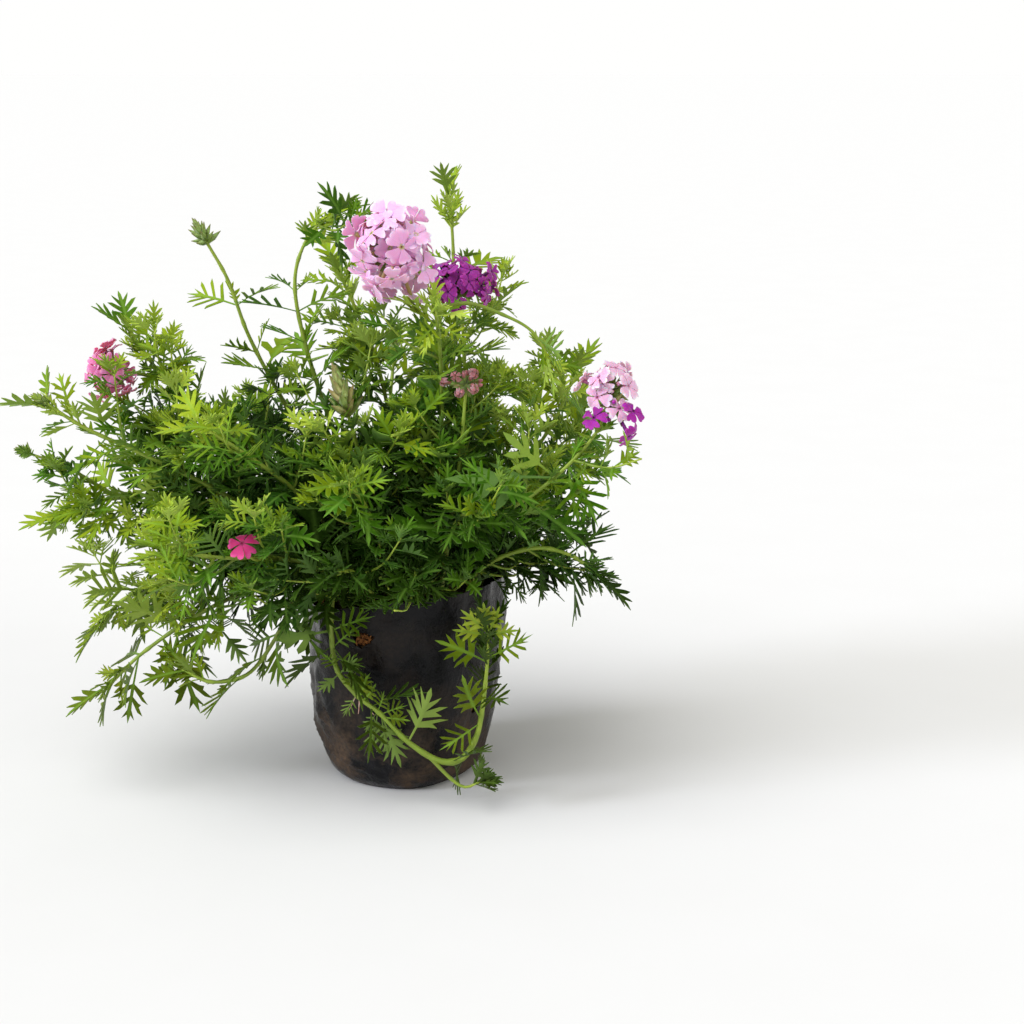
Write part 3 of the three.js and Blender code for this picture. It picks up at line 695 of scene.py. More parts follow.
def growth_of(tree):
    """Sockets of what each point knows: along, across, tone, and upper (1) or under (0)."""
    growth = add(tree, "Attribute", attribute_name="growth")
    parts = add(tree, "SeparateColor", {"Color": growth.outputs["Color"]})
    return (*parts.outputs, growth.outputs["Alpha"])


def film_material(settings):
    """Blown black polythene film. It is glossy where taut, grey with handling, and dusty low down."""
    material, tree, shader = new_material("black_polythene_film", IOR=1.51, Specular_IOR_Level=0.17)
    place = add(tree, "TexCoord").outputs["Object"]
    # Dust settles in clouds 20 mm across with specks of 2 mm, and mostly below half of the height.
    inputs = {"Vector": place, "Scale": per(20), "Detail": 6, "Roughness": 0.65, "Distortion": 0.4}
    clouds = add(tree, "MapRange", {0: add(tree, "TexNoise", inputs), 1: 0.42, 2: 0.68})
    inputs = {"Vector": place, "Scale": per(2.2), "Detail": 4, "Roughness": 0.7}
    specks = add(tree, "MapRange", {0: add(tree, "TexNoise", inputs), 1: 0.35, 2: 0.7, 3: 0.35})
    height = add(tree, "SeparateXYZ", {0: place}).outputs["Z"]
    low = add(tree, "MapRange", {0: height, 1: 0.01, 2: 0.06, 3: 1.5, 4: 0.2})
    patchy = add(tree, "Math", {0: clouds, 1: low}, operation="MULTIPLY")
    dusty = add(tree, "Math", {0: patchy, 1: specks}, operation="MULTIPLY")
    # Blowing the film draws faint upright streaks into it, about 5 mm wide.
    drawn = add(tree, "VectorMath", {0: place, 1: (1, 1, 0.12)}, operation="MULTIPLY")
    inputs = {"Vector": drawn, "Scale": per(5), "Detail": 5, "Roughness": 0.6}
    hazy = add(tree, "MapRange", {0: add(tree, "TexNoise", inputs), 1: 0.42, 2: 0.72})
    clean = add(tree, "Mix", {0: hazy, 6: solid(settings.film), 7: solid("#0e0e12")}, data_type="RGBA")
    film = add(tree, "Mix", {0: dusty, 6: clean, 7: solid(settings.dust)}, data_type="RGBA")
    gloss = add(tree, "MapRange", {0: hazy, 3: 0.2, 4: 0.34})
    dull = add(tree, "Mix", {0: dusty, 2: gloss, 3: 0.85})
    # Fine crumples of about 7 mm, and the 1.5 mm orange peel that blown film keeps.
    inputs = {"Vector": place, "Scale": per(7), "Detail": 5, "Roughness": 0.6, "Distortion": 1.2}
    crumple = add(tree, "TexNoise", inputs)
    peel = add(tree, "TexNoise", {"Vector": place, "Scale": per(1.5), "Detail": 2})
    rough = add(tree, "Math", {0: peel, 1: 0.12, 2: crumple}, operation="MULTIPLY_ADD")
    bump = add(tree, "Bump", {"Height": rough, "Strength": 0.55, "Distance": 0.0016})
    feed(tree, shader, {"Base Color": film, "Roughness": dull, "Normal": bump})
    return material


def potting_material(settings):
    """Peaty potting mix. It is matt dark brown, with paler fibres and grit about 1.6 mm across."""
    material, tree, shader = new_material("potting_mix", Roughness=0.95, Specular_IOR_Level=0.25)
    place = add(tree, "TexCoord").outputs["Object"]
    inputs = {"Vector": place, "Scale": per(6), "Detail": 6, "Roughness": 0.7}
    clumps = add(tree, "TexNoise", inputs)
    grit = add(tree, "TexVoronoi", {"Vector": place, "Scale": per(1.6)})
    stops = [(0.25, solid("#1c110a")), (0.55, solid(settings.soil)), (0.85, solid("#6d5238"))]
    earth = add(tree, "ValToRGB", {"Fac": clumps}, stops)
    pale = add(tree, "MapRange", {0: grit.outputs["Color"], 1: 0.86, 2: 0.9})
    gritty = add(tree, "Mix", {0: pale, 6: earth, 7: solid("#8d7456")}, data_type="RGBA")
    bump = add(tree, "Bump", {"Height": grit.outputs["Distance"], "Strength": 0.8, "Distance": 0.0012})
    feed(tree, shader, {"Base Color": gritty, "Normal": bump})
    return material


def fibre_material():
    """Coir fibres: dry, matt and a warm brown that pales along the fibre."""
    material, tree, shader = new_material("coir_fibre", Roughness=0.85, Specular_IOR_Level=0.2)
    place = add(tree, "TexCoord").outputs["Object"]
    hue = add(tree, "TexNoise", {"Vector": place, "Scale": per(1.6), "Detail": 3})
    brown = add(tree, "ValToRGB", {"Fac": hue}, [(0.35, solid("#5a3219")), (0.65, solid("#b27843"))])
    feed(tree, shader, {"Base Color": brown})
    return material


def leaf_material(settings):
    """A verbena leaf. Short rough hairs make it matt, its veins are pale and its back is grey-green."""
    finish = dict(Roughness=0.5, Specular_IOR_Level=0.17, Specular_Tint=(0.68, 0.95, 0.22, 1))
    finish |= dict(Subsurface_Weight=0.12, Subsurface_Scale=0.0012, Subsurface_Radius=(0.6, 1, 0.15))
    material, tree, shader = new_material("leaf_blade", **finish)
    place = add(tree, "TexCoord").outputs["Object"]
    _, across, tone, upper = growth_of(tree)
    patches = add(tree, "TexNoise", {"Vector": place, "Scale": per(11), "Detail": 3})
    shifted = add(tree, "Math", {0: patches, 1: 0.35, 2: tone}, operation="MULTIPLY_ADD")
    # level is the leaf's tone, which holds its age and also painted shade in the crown's heart and low down,
    # and painted light at -X and at the top.
    level = add(tree, "MapRange", {0: shifted, 1: 0.17, 2: 1.17})
    stops = [(0.12, solid(settings.old_leaf)), (0.5, solid(settings.leaf))]
    stops += [(0.85, solid(settings.young_leaf)), (1, solid("#b5c84a"))]
    grown = add(tree, "ValToRGB", {"Fac": level}, stops)
    # Whole shoots, some 40 mm long, are bluer than others.
    shoots = add(tree, "TexNoise", {"Vector": place, "Scale": per(40), "Detail": 1})
    cool = add(tree, "MapRange", {0: shoots, 1: 0.52, 2: 0.66, 4: 0.24})
    cooled = add(tree, "Mix", {0: cool, 6: grown, 7: solid("#2c652b")}, data_type="RGBA")
    # The lowest leaves turn olive. Leaves of a low level, the old ones and those in painted shade, show less
    # of this, of their veins and mottle, and of their grey-green backs: painted shade that keeps them dark.
    pale = add(tree, "MapRange", {0: level, 1: 0.05, 2: 0.4, 3: 0.3})
    height = add(tree, "SeparateXYZ", {0: place}).outputs["Z"]
    low = add(tree, "MapRange", {0: height, 1: 0.06, 2: 0.13, 3: 0.55, 4: 0})
    olive = add(tree, "Math", {0: low, 1: pale}, operation="MULTIPLY")
    green = add(tree, "Mix", {0: olive, 6: cooled, 7: solid("#646212")}, data_type="RGBA")
    # The midrib and the 2 mm mottle between the side veins.
    middle = add(tree, "MapRange", {0: across, 1: 0, 2: 0.16, 3: 0.5, 4: 0})
    rib = add(tree, "Math", {0: middle, 1: pale}, operation="MULTIPLY")
    ribbed = add(tree, "Mix", {0: rib, 6: green, 7: solid("#7fab44")}, data_type="RGBA")
    mottle = add(tree, "TexNoise", {"Vector": place, "Scale": per(1.8), "Detail": 2})
    specks = add(tree, "MapRange", {0: mottle, 1: 0.5, 2: 0.75, 4: 0.3})
    speck = add(tree, "Math", {0: specks, 1: pale}, operation="MULTIPLY")
    veined = add(tree, "Mix", {0: speck, 6: ribbed, 7: solid("#639030")}, data_type="RGBA")
    # The grey-green back shows less on leaves of a low level: painted shade.
    greyed = add(tree, "Math", {0: pale, 1: 0.4}, operation="MULTIPLY")
    under = add(tree, "Mix", {0: greyed, 6: green, 7: solid(settings.leaf_back)}, data_type="RGBA")
    face = add(tree, "Mix", {0: upper, 6: under, 7: veined}, data_type="RGBA")
    bump = add(tree, "Bump", {"Height": mottle, "Strength": 0.35, "Distance": 0.0005})
    feed(tree, shader, {"Base Color": face, "Normal": bump})
    return material


def stem_material(settings):
    """A green stem, ribbed along its corners and hairy, that reddens and hardens towards its foot."""
    finish = dict(Roughness=0.5, Specular_IOR_Level=0.4, Subsurface_Weight=0.08, Subsurface_Scale=0.001)
    material, tree, shader = new_material("stem_bark", **finish)
    place = add(tree, "TexCoord").outputs["Object"]
    tone = growth_of(tree)[2]
    patches = add(tree, "TexNoise", {"Vector": place, "Scale": per(7), "Detail": 4})
    aged = add(tree, "Math", {0: patches, 1: 0.5, 2: tone}, operation="MULTIPLY_ADD")
    stops = [(0.1, solid("#7d4c2a")), (0.4, solid("#6a7429"))]
    stops += [(0.75, solid(settings.stem)), (1, solid("#a9bd45"))]
    bark = add(tree, "ValToRGB", {"Fac": add(tree, "MapRange", {0: aged, 1: 0.1, 2: 1.25})}, stops)
    hairs = add(tree, "TexNoise", {"Vector": place, "Scale": per(0.9)})
    bump = add(tree, "Bump", {"Height": hairs, "Strength": 0.4, "Distance": 0.0004})
    feed(tree, shader, {"Base Color": bark, "Normal": bump})
    return material


def root_material():
    """Fresh rootlets: thin, fleshy and a pale pinkish brown."""
    finish = dict(Roughness=0.45, Subsurface_Weight=0.2, Subsurface_Scale=0.001)
    material, tree, shader = new_material("rootlet", **finish)
    place = add(tree, "TexCoord").outputs["Object"]
    hue = add(tree, "TexNoise", {"Vector": place, "Scale": per(3), "Detail": 2})
    flesh = add(tree, "ValToRGB", {"Fac": hue}, [(0.3, solid("#a87f72")), (0.7, solid("#d9b9a8"))])
    feed(tree, shader, {"Base Color": flesh})
    return material


def calyx_material(settings):
    """The green sleeves of the florets and buds: pale, ribbed and bristly, browning at their teeth."""
    finish = dict(Roughness=0.55, Subsurface_Weight=0.1, Subsurface_Scale=0.001, Sheen_Weight=0.15)
    material, tree, shader = new_material("calyx_green", **finish)
    place = add(tree, "TexCoord").outputs["Object"]
    along, _, tone, _ = growth_of(tree)
    stops = [(0, solid(settings.stem)), (0.7, solid("#7f9a45")), (1, solid("#77713a"))]
    sleeve = add(tree, "ValToRGB", {"Fac": along}, stops)
    dry = add(tree, "MapRange", {0: tone, 1: 0.5, 2: 1})
    spent = add(tree, "Mix", {0: dry, 6: sleeve, 7: solid("#a58a58")}, data_type="RGBA")
    bristles = add(tree, "TexNoise", {"Vector": place, "Scale": per(0.8)})
    bump = add(tree, "Bump", {"Height": bristles, "Strength": 0.4, "Distance": 0.0004})
    feed(tree, shader, {"Base Color": spent, "Normal": bump})
    return material


def petal_material(name, colour, edge, eye):
    """A thin petal with a velvety face. Light soaks into it, and fine veins run out from its eye."""
    finish = dict(Roughness=0.55, Specular_IOR_Level=0.3, Subsurface_Weight=0.4, Subsurface_Scale=0.002)
    finish |= dict(Sheen_Weight=0.25, Sheen_Roughness=0.4)
    material, tree, shader = new_material(name, **finish)
    place = add(tree, "TexCoord").outputs["Object"]
    along, across, tone, upper = growth_of(tree)
    pale = solid(edge)
    stops = [(0.04, solid(eye)), (0.16, solid(colour)), (0.7, solid(colour)), (1, pale)]
    face = add(tree, "ValToRGB", {"Fac": along}, stops)
    rays = add(tree, "Math", {0: across, 1: 34}, operation="MULTIPLY")
    waves = add(tree, "MapRange", {0: add(tree, "Math", {0: rays}, operation="SINE"), 1: 0.3, 4: 0.35})
    tint = dict(data_type="RGBA", blend_type="MULTIPLY")
    deeper = add(tree, "Mix", {0: 1, 6: face, 7: (0.72, 0.6, 0.72, 1)}, **tint)
    veined = add(tree, "Mix", {0: waves, 6: face, 7: deeper}, data_type="RGBA")
    paler = add(tree, "Mix", {0: 0.45, 6: veined, 7: pale}, data_type="RGBA")
    toned = add(tree, "Mix", {0: tone, 6: veined, 7: paler}, data_type="RGBA")
    backed = add(tree, "Mix", {0: 0.3, 6: toned, 7: pale}, data_type="RGBA")
    petal = add(tree, "Mix", {0: upper, 6: backed, 7: toned}, data_type="RGBA")
    velvet = add(tree, "TexNoise", {"Vector": place, "Scale": per(1.2)})
    bump = add(tree, "Bump", {"Height": velvet, "Strength": 0.25, "Distance": 0.0004})
    feed(tree, shader, {"Base Color": petal, "Normal": bump})
    return material


def floor_material(settings):
    """A matt painted studio floor with the faintest mottle."""
    material, tree, shader = new_material("painted_floor", Roughness=1, Specular_IOR_Level=0)
    place = add(tree, "TexCoord").outputs["Object"]
    mottle = add(tree, "TexNoise", {"Vector": place, "Scale": per(60), "Detail": 3})
    faint = add(tree, "MapRange", {0: mottle, 1: 0.4, 2: 0.7, 4: 0.03})
    paint = add(tree, "Mix", {0: faint, 6: solid(settings.floor), 7: solid("#c9c6c0")}, data_type="RGBA")
    feed(tree, shader, {"Base Color": paint})
    return material


# ---------------------------------------------------------------- pieces


def finish_piece(bm, name, materials, node):
    """Makes a piece of a shape in millimetres, in the place of the solid that it stands for."""
    bmesh.ops.scale(bm, vec=(MM, MM, MM), verts=bm.verts)
    mesh = mesh_of(bm, name)
    for material in materials:
        mesh.materials.append(material)
    piece = bpy.data.objects.new(name, mesh)
    bpy.context.scene.collection.objects.link(piece)
    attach(piece, "root")
    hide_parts(node)
    return piece


def smooth_but_sharp(bm, angle):
    """Shades a shape smooth, apart from edges that turn by more than an angle."""
    for face in bm.faces:
        face.smooth = True
    for edge in bm.edges:
        edge.smooth = not edge.is_manifold or edge.calc_face_angle() < angle


# ---------------------------------------------------------------- the bag


def rim_rise(bearing):
    return RIM_TILT * math.cos(bearing) - math.sin(bearing) - RIM_SAG * math.cos(2 * bearing)


def folds(bearing, share):
    """How much wider the bag is at a bearing, for its radius, at a share of its height."""
    wide = 0.018 * math.sin(3 * bearing + 0.8 + share)
    narrow = 0.016 * math.sin(5 * bearing + 2.2 - 2 * share)
    slack = 0.5 * FOOT_SLACK * (1 - math.cos(bearing)) * max(0, 1 - 3 * share)
    taper = FOOT_TAPER * math.cos(bearing / 2) ** 4 * max(0, 1 - share) ** 1.5
    return wide + narrow + 0.03 * math.cos(2 * bearing) * (1 - share) - slack - taper


def slump(point):
    """Gathers and slumps a round form as the thin bag does, the same as its solid."""
    bearing = math.atan2(point.y, point.x)
    share = point.z / BAG_TOP
    wider = 1 + folds(bearing, share)
    return Vector((point.x * wider, point.y * wider, point.z + rim_rise(bearing) * share**3))


def bag_radius(bearing, height):
    share = height / BAG_TOP
    for (r0, z0), (r1, z1) in zip(BAG_OUTLINE, BAG_OUTLINE[1:]):
        if height <= z1 or z1 == BAG_TOP:
            radius = mix(r0, r1, (height - z0) / (z1 - z0))
            return radius * (1 + folds(bearing, share))


def turned(profile, steps):
    """A form of revolution about Z from its profile's [radius, height] points."""
    bm = bmesh.new()
    verts = [bm.verts.new((radius, 0, height)) for radius, height in profile]
    edges = [bm.edges.new(pair) for pair in zip(verts, verts[1:])]
    around = dict(cent=(0, 0, 0), axis=(0, 0, 1), angle=2 * math.pi, steps=steps, use_merge=True)
    bmesh.ops.spin(bm, geom=[*verts, *edges], **around)
    bmesh.ops.remove_doubles(bm, verts=bm.verts, dist=0.001)
    bmesh.ops.recalc_face_normals(bm, faces=bm.faces)
    return bm


def crease(bearing, height, line):
    """How far one pressed crease lifts the film at a place."""
    (b0, z0), (b1, z1), half_width, ridge = line
    x, y = turn_between(b0, bearing) * CREASE_RADIUS, height - z0
    dx, dy = math.radians(b1 - b0) * CREASE_RADIUS, z1 - z0
    length = math.hypot(dx, dy)
    along = (x * dx + y * dy) / length**2
    if not 0 < along < 1:
        return 0
    off = abs(x * dy - y * dx) / length / half_width
    if off > 2.5:
        return 0
    ends = math.sin(math.pi * along) ** 0.5
    return ridge * ends * (math.exp(-2 * off) - 0.45 * math.exp(-((off - 1.3) ** 2) * 3))


def film_relief(bearing, height):
    """How far the film stands off its plain form: gathers, crumples and creases."""
    around = Vector((math.cos(bearing), math.sin(bearing), 0)) * 50
    low = min(height / 12, 1)
    near_rim = max(0, (height - 74) / 25)
    gathers = 0.55 * math.sin(17 * bearing + 2 * math.sin(3 * bearing)) * near_rim**1.5
    place = Vector((around.x, around.y, height * 0.6)) / 17
    sharp = 0
    for octave in range(3):
        scale = 1.9**octave
        sharp += (1 - abs(noise.noise(place * scale + Vector((3.1, 1.7, octave * 5.3))))) ** 3 / scale
    crumple = 0.9 * (sharp - 1.25)
    drape = 1.0 * noise.noise(Vector((around.x / 26, around.y / 26, height / 60 + 4)))
    pressed = sum(crease(bearing, height, line) for line in CREASES)
    return (crumple + drape + pressed) * low + gathers


def hole_at(bearing, height, grow=1.0):
    """The hole that a place on the film lies in, with the ragged outline's reach there, or None."""
    for line in HOLES:
        aim, middle, half_width, half_height, ragged = line
        x, y = turn_between(aim, bearing) * HOLE_RADIUS, height - middle
        way = math.atan2(y / half_height, x / half_width)
        torn = 1 + ragged * (0.6 * math.sin(3 * way + 1) + 0.4 * math.sin(7 * way))
        reach = math.hypot(x / half_width, y / half_height) / torn
        if reach < grow:
            return line, reach
    return None


def make_bag(settings):
    path = Path([(radius, 0, height) for radius, height in BAG_OUTLINE])
    side = [path.at(k / BAG_ROWS) for k in range(BAG_ROWS + 1)]
    bm = turned([(0, 0), (20, 0)] + [(p.x, max(p.z, 0)) for p in side], BAG_STEPS)
    for vert in bm.verts:
        radius = math.hypot(vert.co.x, vert.co.y)
        bearing, height = math.atan2(vert.co.y, vert.co.x), vert.co.z
        if height > 0.01:
            wider = 1 + film_relief(bearing, height) / radius
            vert.co.x *= wider
            vert.co.y *= wider
        if height > BAG_TOP - 0.01:
            vert.co.z += 0.9 * noise.noise(Vector((math.cos(bearing), math.sin(bearing), 2)) * 4)
    through = [face for face in bm.faces if is_in_hole(face)]
    bmesh.ops.delete(bm, geom=through, context="FACES")
    draw_holes_to_outline(bm)
    for vert in bm.verts:
        vert.co = slump(vert.co)
    bmesh.ops.recalc_face_normals(bm, faces=bm.faces)
    bmesh.ops.solidify(bm, geom=bm.faces[:], thickness=settings.film_thickness / MM)
    bmesh.ops.recalc_face_normals(bm, faces=bm.faces)
    lift_to_floor(bm)
    smooth_but_sharp(bm, math.radians(50))
    return finish_piece(bm, "grow_bag_film", [film_material(settings)], "grow_bag")


def is_in_hole(face):
    middle = face.calc_center_median()
    return middle.z > 1 and hole_at(math.atan2(middle.y, middle.x), middle.z) is not None


def draw_holes_to_outline(bm):
    """Moves the rim of each hole onto its outline, and turns the torn film out a little."""
    for vert in bm.verts:
        if not vert.is_boundary or vert.co.z > BAG_TOP - 4:
            continue
        bearing = math.atan2(vert.co.y, vert.co.x)
        found = hole_at(bearing, vert.co.z, grow=3.0)
        if not found:
            continue
        (aim, middle, _, _, ragged), reach = found
        radius = math.hypot(vert.co.x, vert.co.y)
        bearing = math.radians(aim) + turn_between(aim, bearing) / reach
        radius += 1.6 * ragged
        height = middle + (vert.co.z - middle) / reach
        vert.co = Vector((radius * math.cos(bearing), radius * math.sin(bearing), height))


def lift_to_floor(bm):
    for vert in bm.verts:
        vert.co.z = max(vert.co.z, 0)


# ---------------------------------------------------------------- the potting mix


def soil_height(x, y):
    """The height of the potting mix above a place inside the bag."""
    away = min(math.hypot(x, y) / SOIL_RADIUS, 1)
    dome = mix(SOIL_CROWN, SOIL_EDGE, away**2.2)
    bearing = math.atan2(y, x)
    return dome + rim_rise(bearing) * (dome / BAG_TOP) ** 3 * away


def make_potting_mix(settings):
    bm = turned(SOIL_OUTLINE, SOIL_STEPS)
    top = [edge for edge in bm.edges if min(vert.co.z for vert in edge.verts) > SOIL_SHOULDER]
    bmesh.ops.subdivide_edges(bm, edges=top, cuts=2, use_grid_fill=True)
    for vert in bm.verts:
        radius = math.hypot(vert.co.x, vert.co.y)
        if vert.co.z > SOIL_SHOULDER:
            vert.co.z += 1.6 * noise.noise(vert.co / 7) + 0.9 * noise.noise(vert.co / 2.6)
        elif radius > 1:
            inside = 1 - 0.5 * (1 + noise.noise(vert.co / 9)) / radius
            vert.co.x *= inside
            vert.co.y *= inside
        vert.co = slump(vert.co)
    scatter_crumbs(bm)
    bmesh.ops.recalc_face_normals(bm, faces=bm.faces)
    smooth_but_sharp(bm, math.radians(60))
    bm.verts.layers.float_color.new("growth")
    push_out_fibres(bm)
    materials = [potting_material(settings), fibre_material()]
    return finish_piece(bm, "potting_mix", materials, "soil")


def push_out_fibres(bm):
    """A wad of coir fibres that the torn hole lets out."""
    rng = random.Random("fibres")
    aim, height, half_width, half_height, _ = HOLES[0]
    for _ in range(FIBRES):
        bearing = math.radians(aim) + rng.uniform(-0.8, 0.8) * half_width / HOLE_RADIUS
        away = HOLE_RADIUS + 0.4
        middle = slump(Vector((away * math.cos(bearing), away * math.sin(bearing), height)))
        middle.z += rng.uniform(-0.7, 0.7) * half_height
        out = Vector((math.cos(bearing), math.sin(bearing), 0))
        tilt = rng.uniform(0, math.pi)
        along = out.cross(UP) * math.cos(tilt) + UP * math.sin(tilt)
        half = along * rng.uniform(1.6, 3.6)
        start = middle - half - out * 1.2
        bulge = middle + out * rng.uniform(0, 1)
        end = middle + half - out * rng.random()
        rod(bm, Path([start, bulge, end]), lambda share: 0.5, 5, lambda share: 0.5, COIR, sides=3)


def scatter_crumbs(bm):
    """Crumbs of 1 to 4 mm, half sunk in the surface."""
    rng = random.Random("crumbs")
    for _ in range(CRUMBS):
        away = (SOIL_RADIUS - 2) * math.sqrt(rng.random())
        bearing = rng.uniform(0, 2 * math.pi)
        place = Vector((away * math.cos(bearing), away * math.sin(bearing), 0))
        place.z = soil_height(place.x, place.y)
        size = 0.5 + 1.5 * rng.random() ** 2
        crumb = bmesh.ops.create_icosphere(bm, subdivisions=1, radius=size)["verts"]
        lengths = Vector((rng.uniform(0.6, 1.6), rng.uniform(0.6, 1.2), rng.uniform(0.5, 0.9)))
        bmesh.ops.scale(bm, vec=lengths, verts=crumb)
        lay = Matrix.Translation(place) @ Matrix.Rotation(rng.uniform(0, 6.28), 4, "Z")
        tilt = Matrix.Rotation(rng.uniform(-0.6, 0.6), 4, "X")
        bmesh.ops.transform(bm, matrix=lay @ tilt, verts=crumb)
        for vert in crumb:
            vert.co += push_at(vert.co * 0.9) * 0.3 * size


# ---------------------------------------------------------------- blades and rods


def blade_template(name, half, bends, end=1.0, cuts=()):
    """A flat blade 1 long and 1 thick, with an edge along its midrib that has points to bend at."""
    bm = new_shape()
    outline = [*half, (end, 0), *[(u, -v) for u, v in reversed(half)]]
    bm.faces.new([bm.verts.new((u, v, -0.5)) for u, v in outline])
    for place, across in [((0, 0, 0), (0, 1, 0)), *[((u, 0, 0), (1, 0, 0)) for u in cuts]]:
        every = [*bm.verts, *bm.edges, *bm.faces]
        bmesh.ops.bisect_plane(bm, geom=every, dist=1e-5, plane_co=place, plane_no=across)
    midrib = [edge for edge in bm.edges if max(abs(vert.co.y) for vert in edge.verts) < 1e-5]
    if bends:
        bmesh.ops.subdivide_edges(bm, edges=midrib, cuts=bends)
    bmesh.ops.triangulate(bm, faces=[face for face in bm.faces if len(face.verts) > 4])
    made = bmesh.ops.extrude_face_region(bm, geom=bm.faces[:])["geom"]
    bmesh.ops.translate(bm, vec=(0, 0, 1), verts=[v for v in made if isinstance(v, bmesh.types.BMVert)])
    bmesh.ops.recalc_face_normals(bm, faces=bm.faces)
    smooth_but_sharp(bm, math.radians(50))
    widest = max(v for _, v in half)
    growth = bm.verts.layers.float_color["growth"]
    for vert in bm.verts:
        vert[growth] = (vert.co.x, abs(vert.co.y) / widest, 0.5, 1 if vert.co.z > 0 else 0)
    return mesh_of(bm, name)


def mesh_of(bm, name):
    mesh = bpy.data.meshes.new(name)
    bm.to_mesh(mesh)
    bm.free()
    return mesh


def blunted(half):
    """An outline whose lobes keep their width nearly to their tips. Its notches stay."""
    inner = range(1, len(half) - 1)

    def is_notch(k):
        return half[k][1] < 0.05 or half[k][1] <= min(half[k - 1][1], half[k + 1][1])

    points = [Vector(point) for point in half]
    for k in inner:
        before, tip, after = (Vector(point) for point in half[k - 1 : k + 2])
        if tip.y > max(before.y, after.y):
            for side in (k - 1, k + 1):
                if side in inner and not is_notch(side):
                    points[side] += (tip - (before + after) / 2) * BLUNTNESS
    return [tuple(point) for point in points]


def set_in(bm, template, move, tone):
    """Puts a copy of a template into a shape, with each point where move takes it."""
    first = len(bm.verts)
    bm.from_mesh(template)
    bm.verts.ensure_lookup_table()
    growth = bm.verts.layers.float_color["growth"]
    for vert in bm.verts[first:]:
        along, across, _, upper = vert[growth]
        vert[growth] = (along, across, tone, upper)
        vert.co = move(vert.co)


def arched(placing, length, thickness, fold, droop, cup=0.0, sway=0.0, twist=0.0):
    """The move that arches a blade, folds it up along its midrib, and puts it in its place."""

    def move(point):
        u, v = point.x, point.y
        lift = fold * abs(v) - droop * u * u + cup * v * v * 4
        side = v + sway * u * u
        if twist:
            lift += v * math.sin(twist * u)
        return placing @ Vector((u * length, side * length, lift * length + point.z * thickness))

    return move


def sized(placing, size):
    """The move that makes a template a number of times larger and puts it in its place."""
    return lambda point: placing @ (point * size)


def rod(bm, path, side_at, sections, tone_at, material_index, sides=8, squareness=0.16):
    """A squarish rod along a path, closed at both ends, as thick at each share as side_at says."""
    growth = bm.verts.layers.float_color["growth"]
    first = len(bm.faces)
    ring = bmesh.ops.create_circle(bm, cap_ends=True, segments=sides, radius=0.5)["verts"]
    for k, vert in enumerate(ring):
        vert.co *= 1 + squareness * (k % 2)
    face = ring[0].link_faces[0]
    placed = Matrix.Identity(4)
    ahead = path.ahead(0)
    facing = ahead.cross(SIDEWAYS).normalized()
    for step in range(sections + 1):
        share = step / sections
        ahead = path.ahead(share)
        facing = (facing - ahead * facing.dot(ahead)).normalized()
        side = side_at(share)
        turn = Matrix((facing, ahead.cross(facing), ahead)).transposed().to_4x4()
        placing = Matrix.Translation(path.at(share)) @ turn @ Matrix.Diagonal((side, side, 1, 1))
        if step:
            made = bmesh.ops.extrude_face_region(bm, geom=[face])["geom"]
            face = next(one for one in made if isinstance(one, bmesh.types.BMFace))
            ring = [one for one in made if isinstance(one, bmesh.types.BMVert)]
        bmesh.ops.transform(bm, matrix=placing @ placed.inverted(), verts=ring)
        placed = placing
        for vert in ring:
            vert[growth] = (share, 0.5, tone_at(share), 1)
    bm.faces.ensure_lookup_table()
    for made_face in bm.faces[first:]:
        made_face.material_index = material_index
        made_face.smooth = True


def distance_to(point, start, end):
    """How far a point is from the straight stretch between two others."""
    along = clamped((point - start).dot(end - start) / (end - start).length_squared)
    return (point - start.lerp(end, along)).length


def crown_share(place):
    """How far a place is from the crown's heart: 1 is about at its outside."""
    return Vector(off / reach for off, reach in zip(place - CROWN_MIDDLE, CROWN_REACH)).length


def outward(place):
    """0 in the crown's heart, and 1 at its outside."""
    return clamped((crown_share(place) - 0.35) / 0.6)


def closeness(place):
    """How closely leaves stand: 1 in the thick of the crown, down to 0 where it thins out."""
    return 1 - clamped((crown_share(place) - 0.75) / 0.6)


# ---------------------------------------------------------------- where stems and leaves stand


class Axis:
    """A stem, branch or side shoot: its path, its thickness, and what grows on it."""

    def __init__(self, growth, route, side, seed):
        self.path = Path(route)
        self.side = side
        self.seed = seed
        self.steps = max(5, math.floor((len(route) - 1) * 1.25 + 0.5))
        self.start = growth.get("start", 0.6)
        self.pairs = growth.get("pairs", 0)
        self.leaf = growth.get("leaf", 20)
        self.turn = growth.get("turn", 0)
        self.tip = growth.get("tip", 0)
        self.bud = growth.get("bud")
        self.swell = growth.get("swell", 0)

    def joint(self, share):
        """The share of the nearest place where two straight lengths of the solid's rod meet."""
        return math.floor(share * self.steps + 0.5) / self.steps


def axes_of(row, stem):
    main = Axis(stem, stem["route"], STEM_SIDE, 10 * row)
    if "branch" not in stem:
        return [main]
    branch = stem["branch"]
    start = main.path.at(main.joint(branch["at"]))
    return [main, Axis(branch, [start, *branch["route"]], BRANCH_SIDE, 10 * row + 1)]


def axes_of_stems():
    return {stem["name"]: axes_of(row, stem) for row, stem in enumerate(STEMS)}


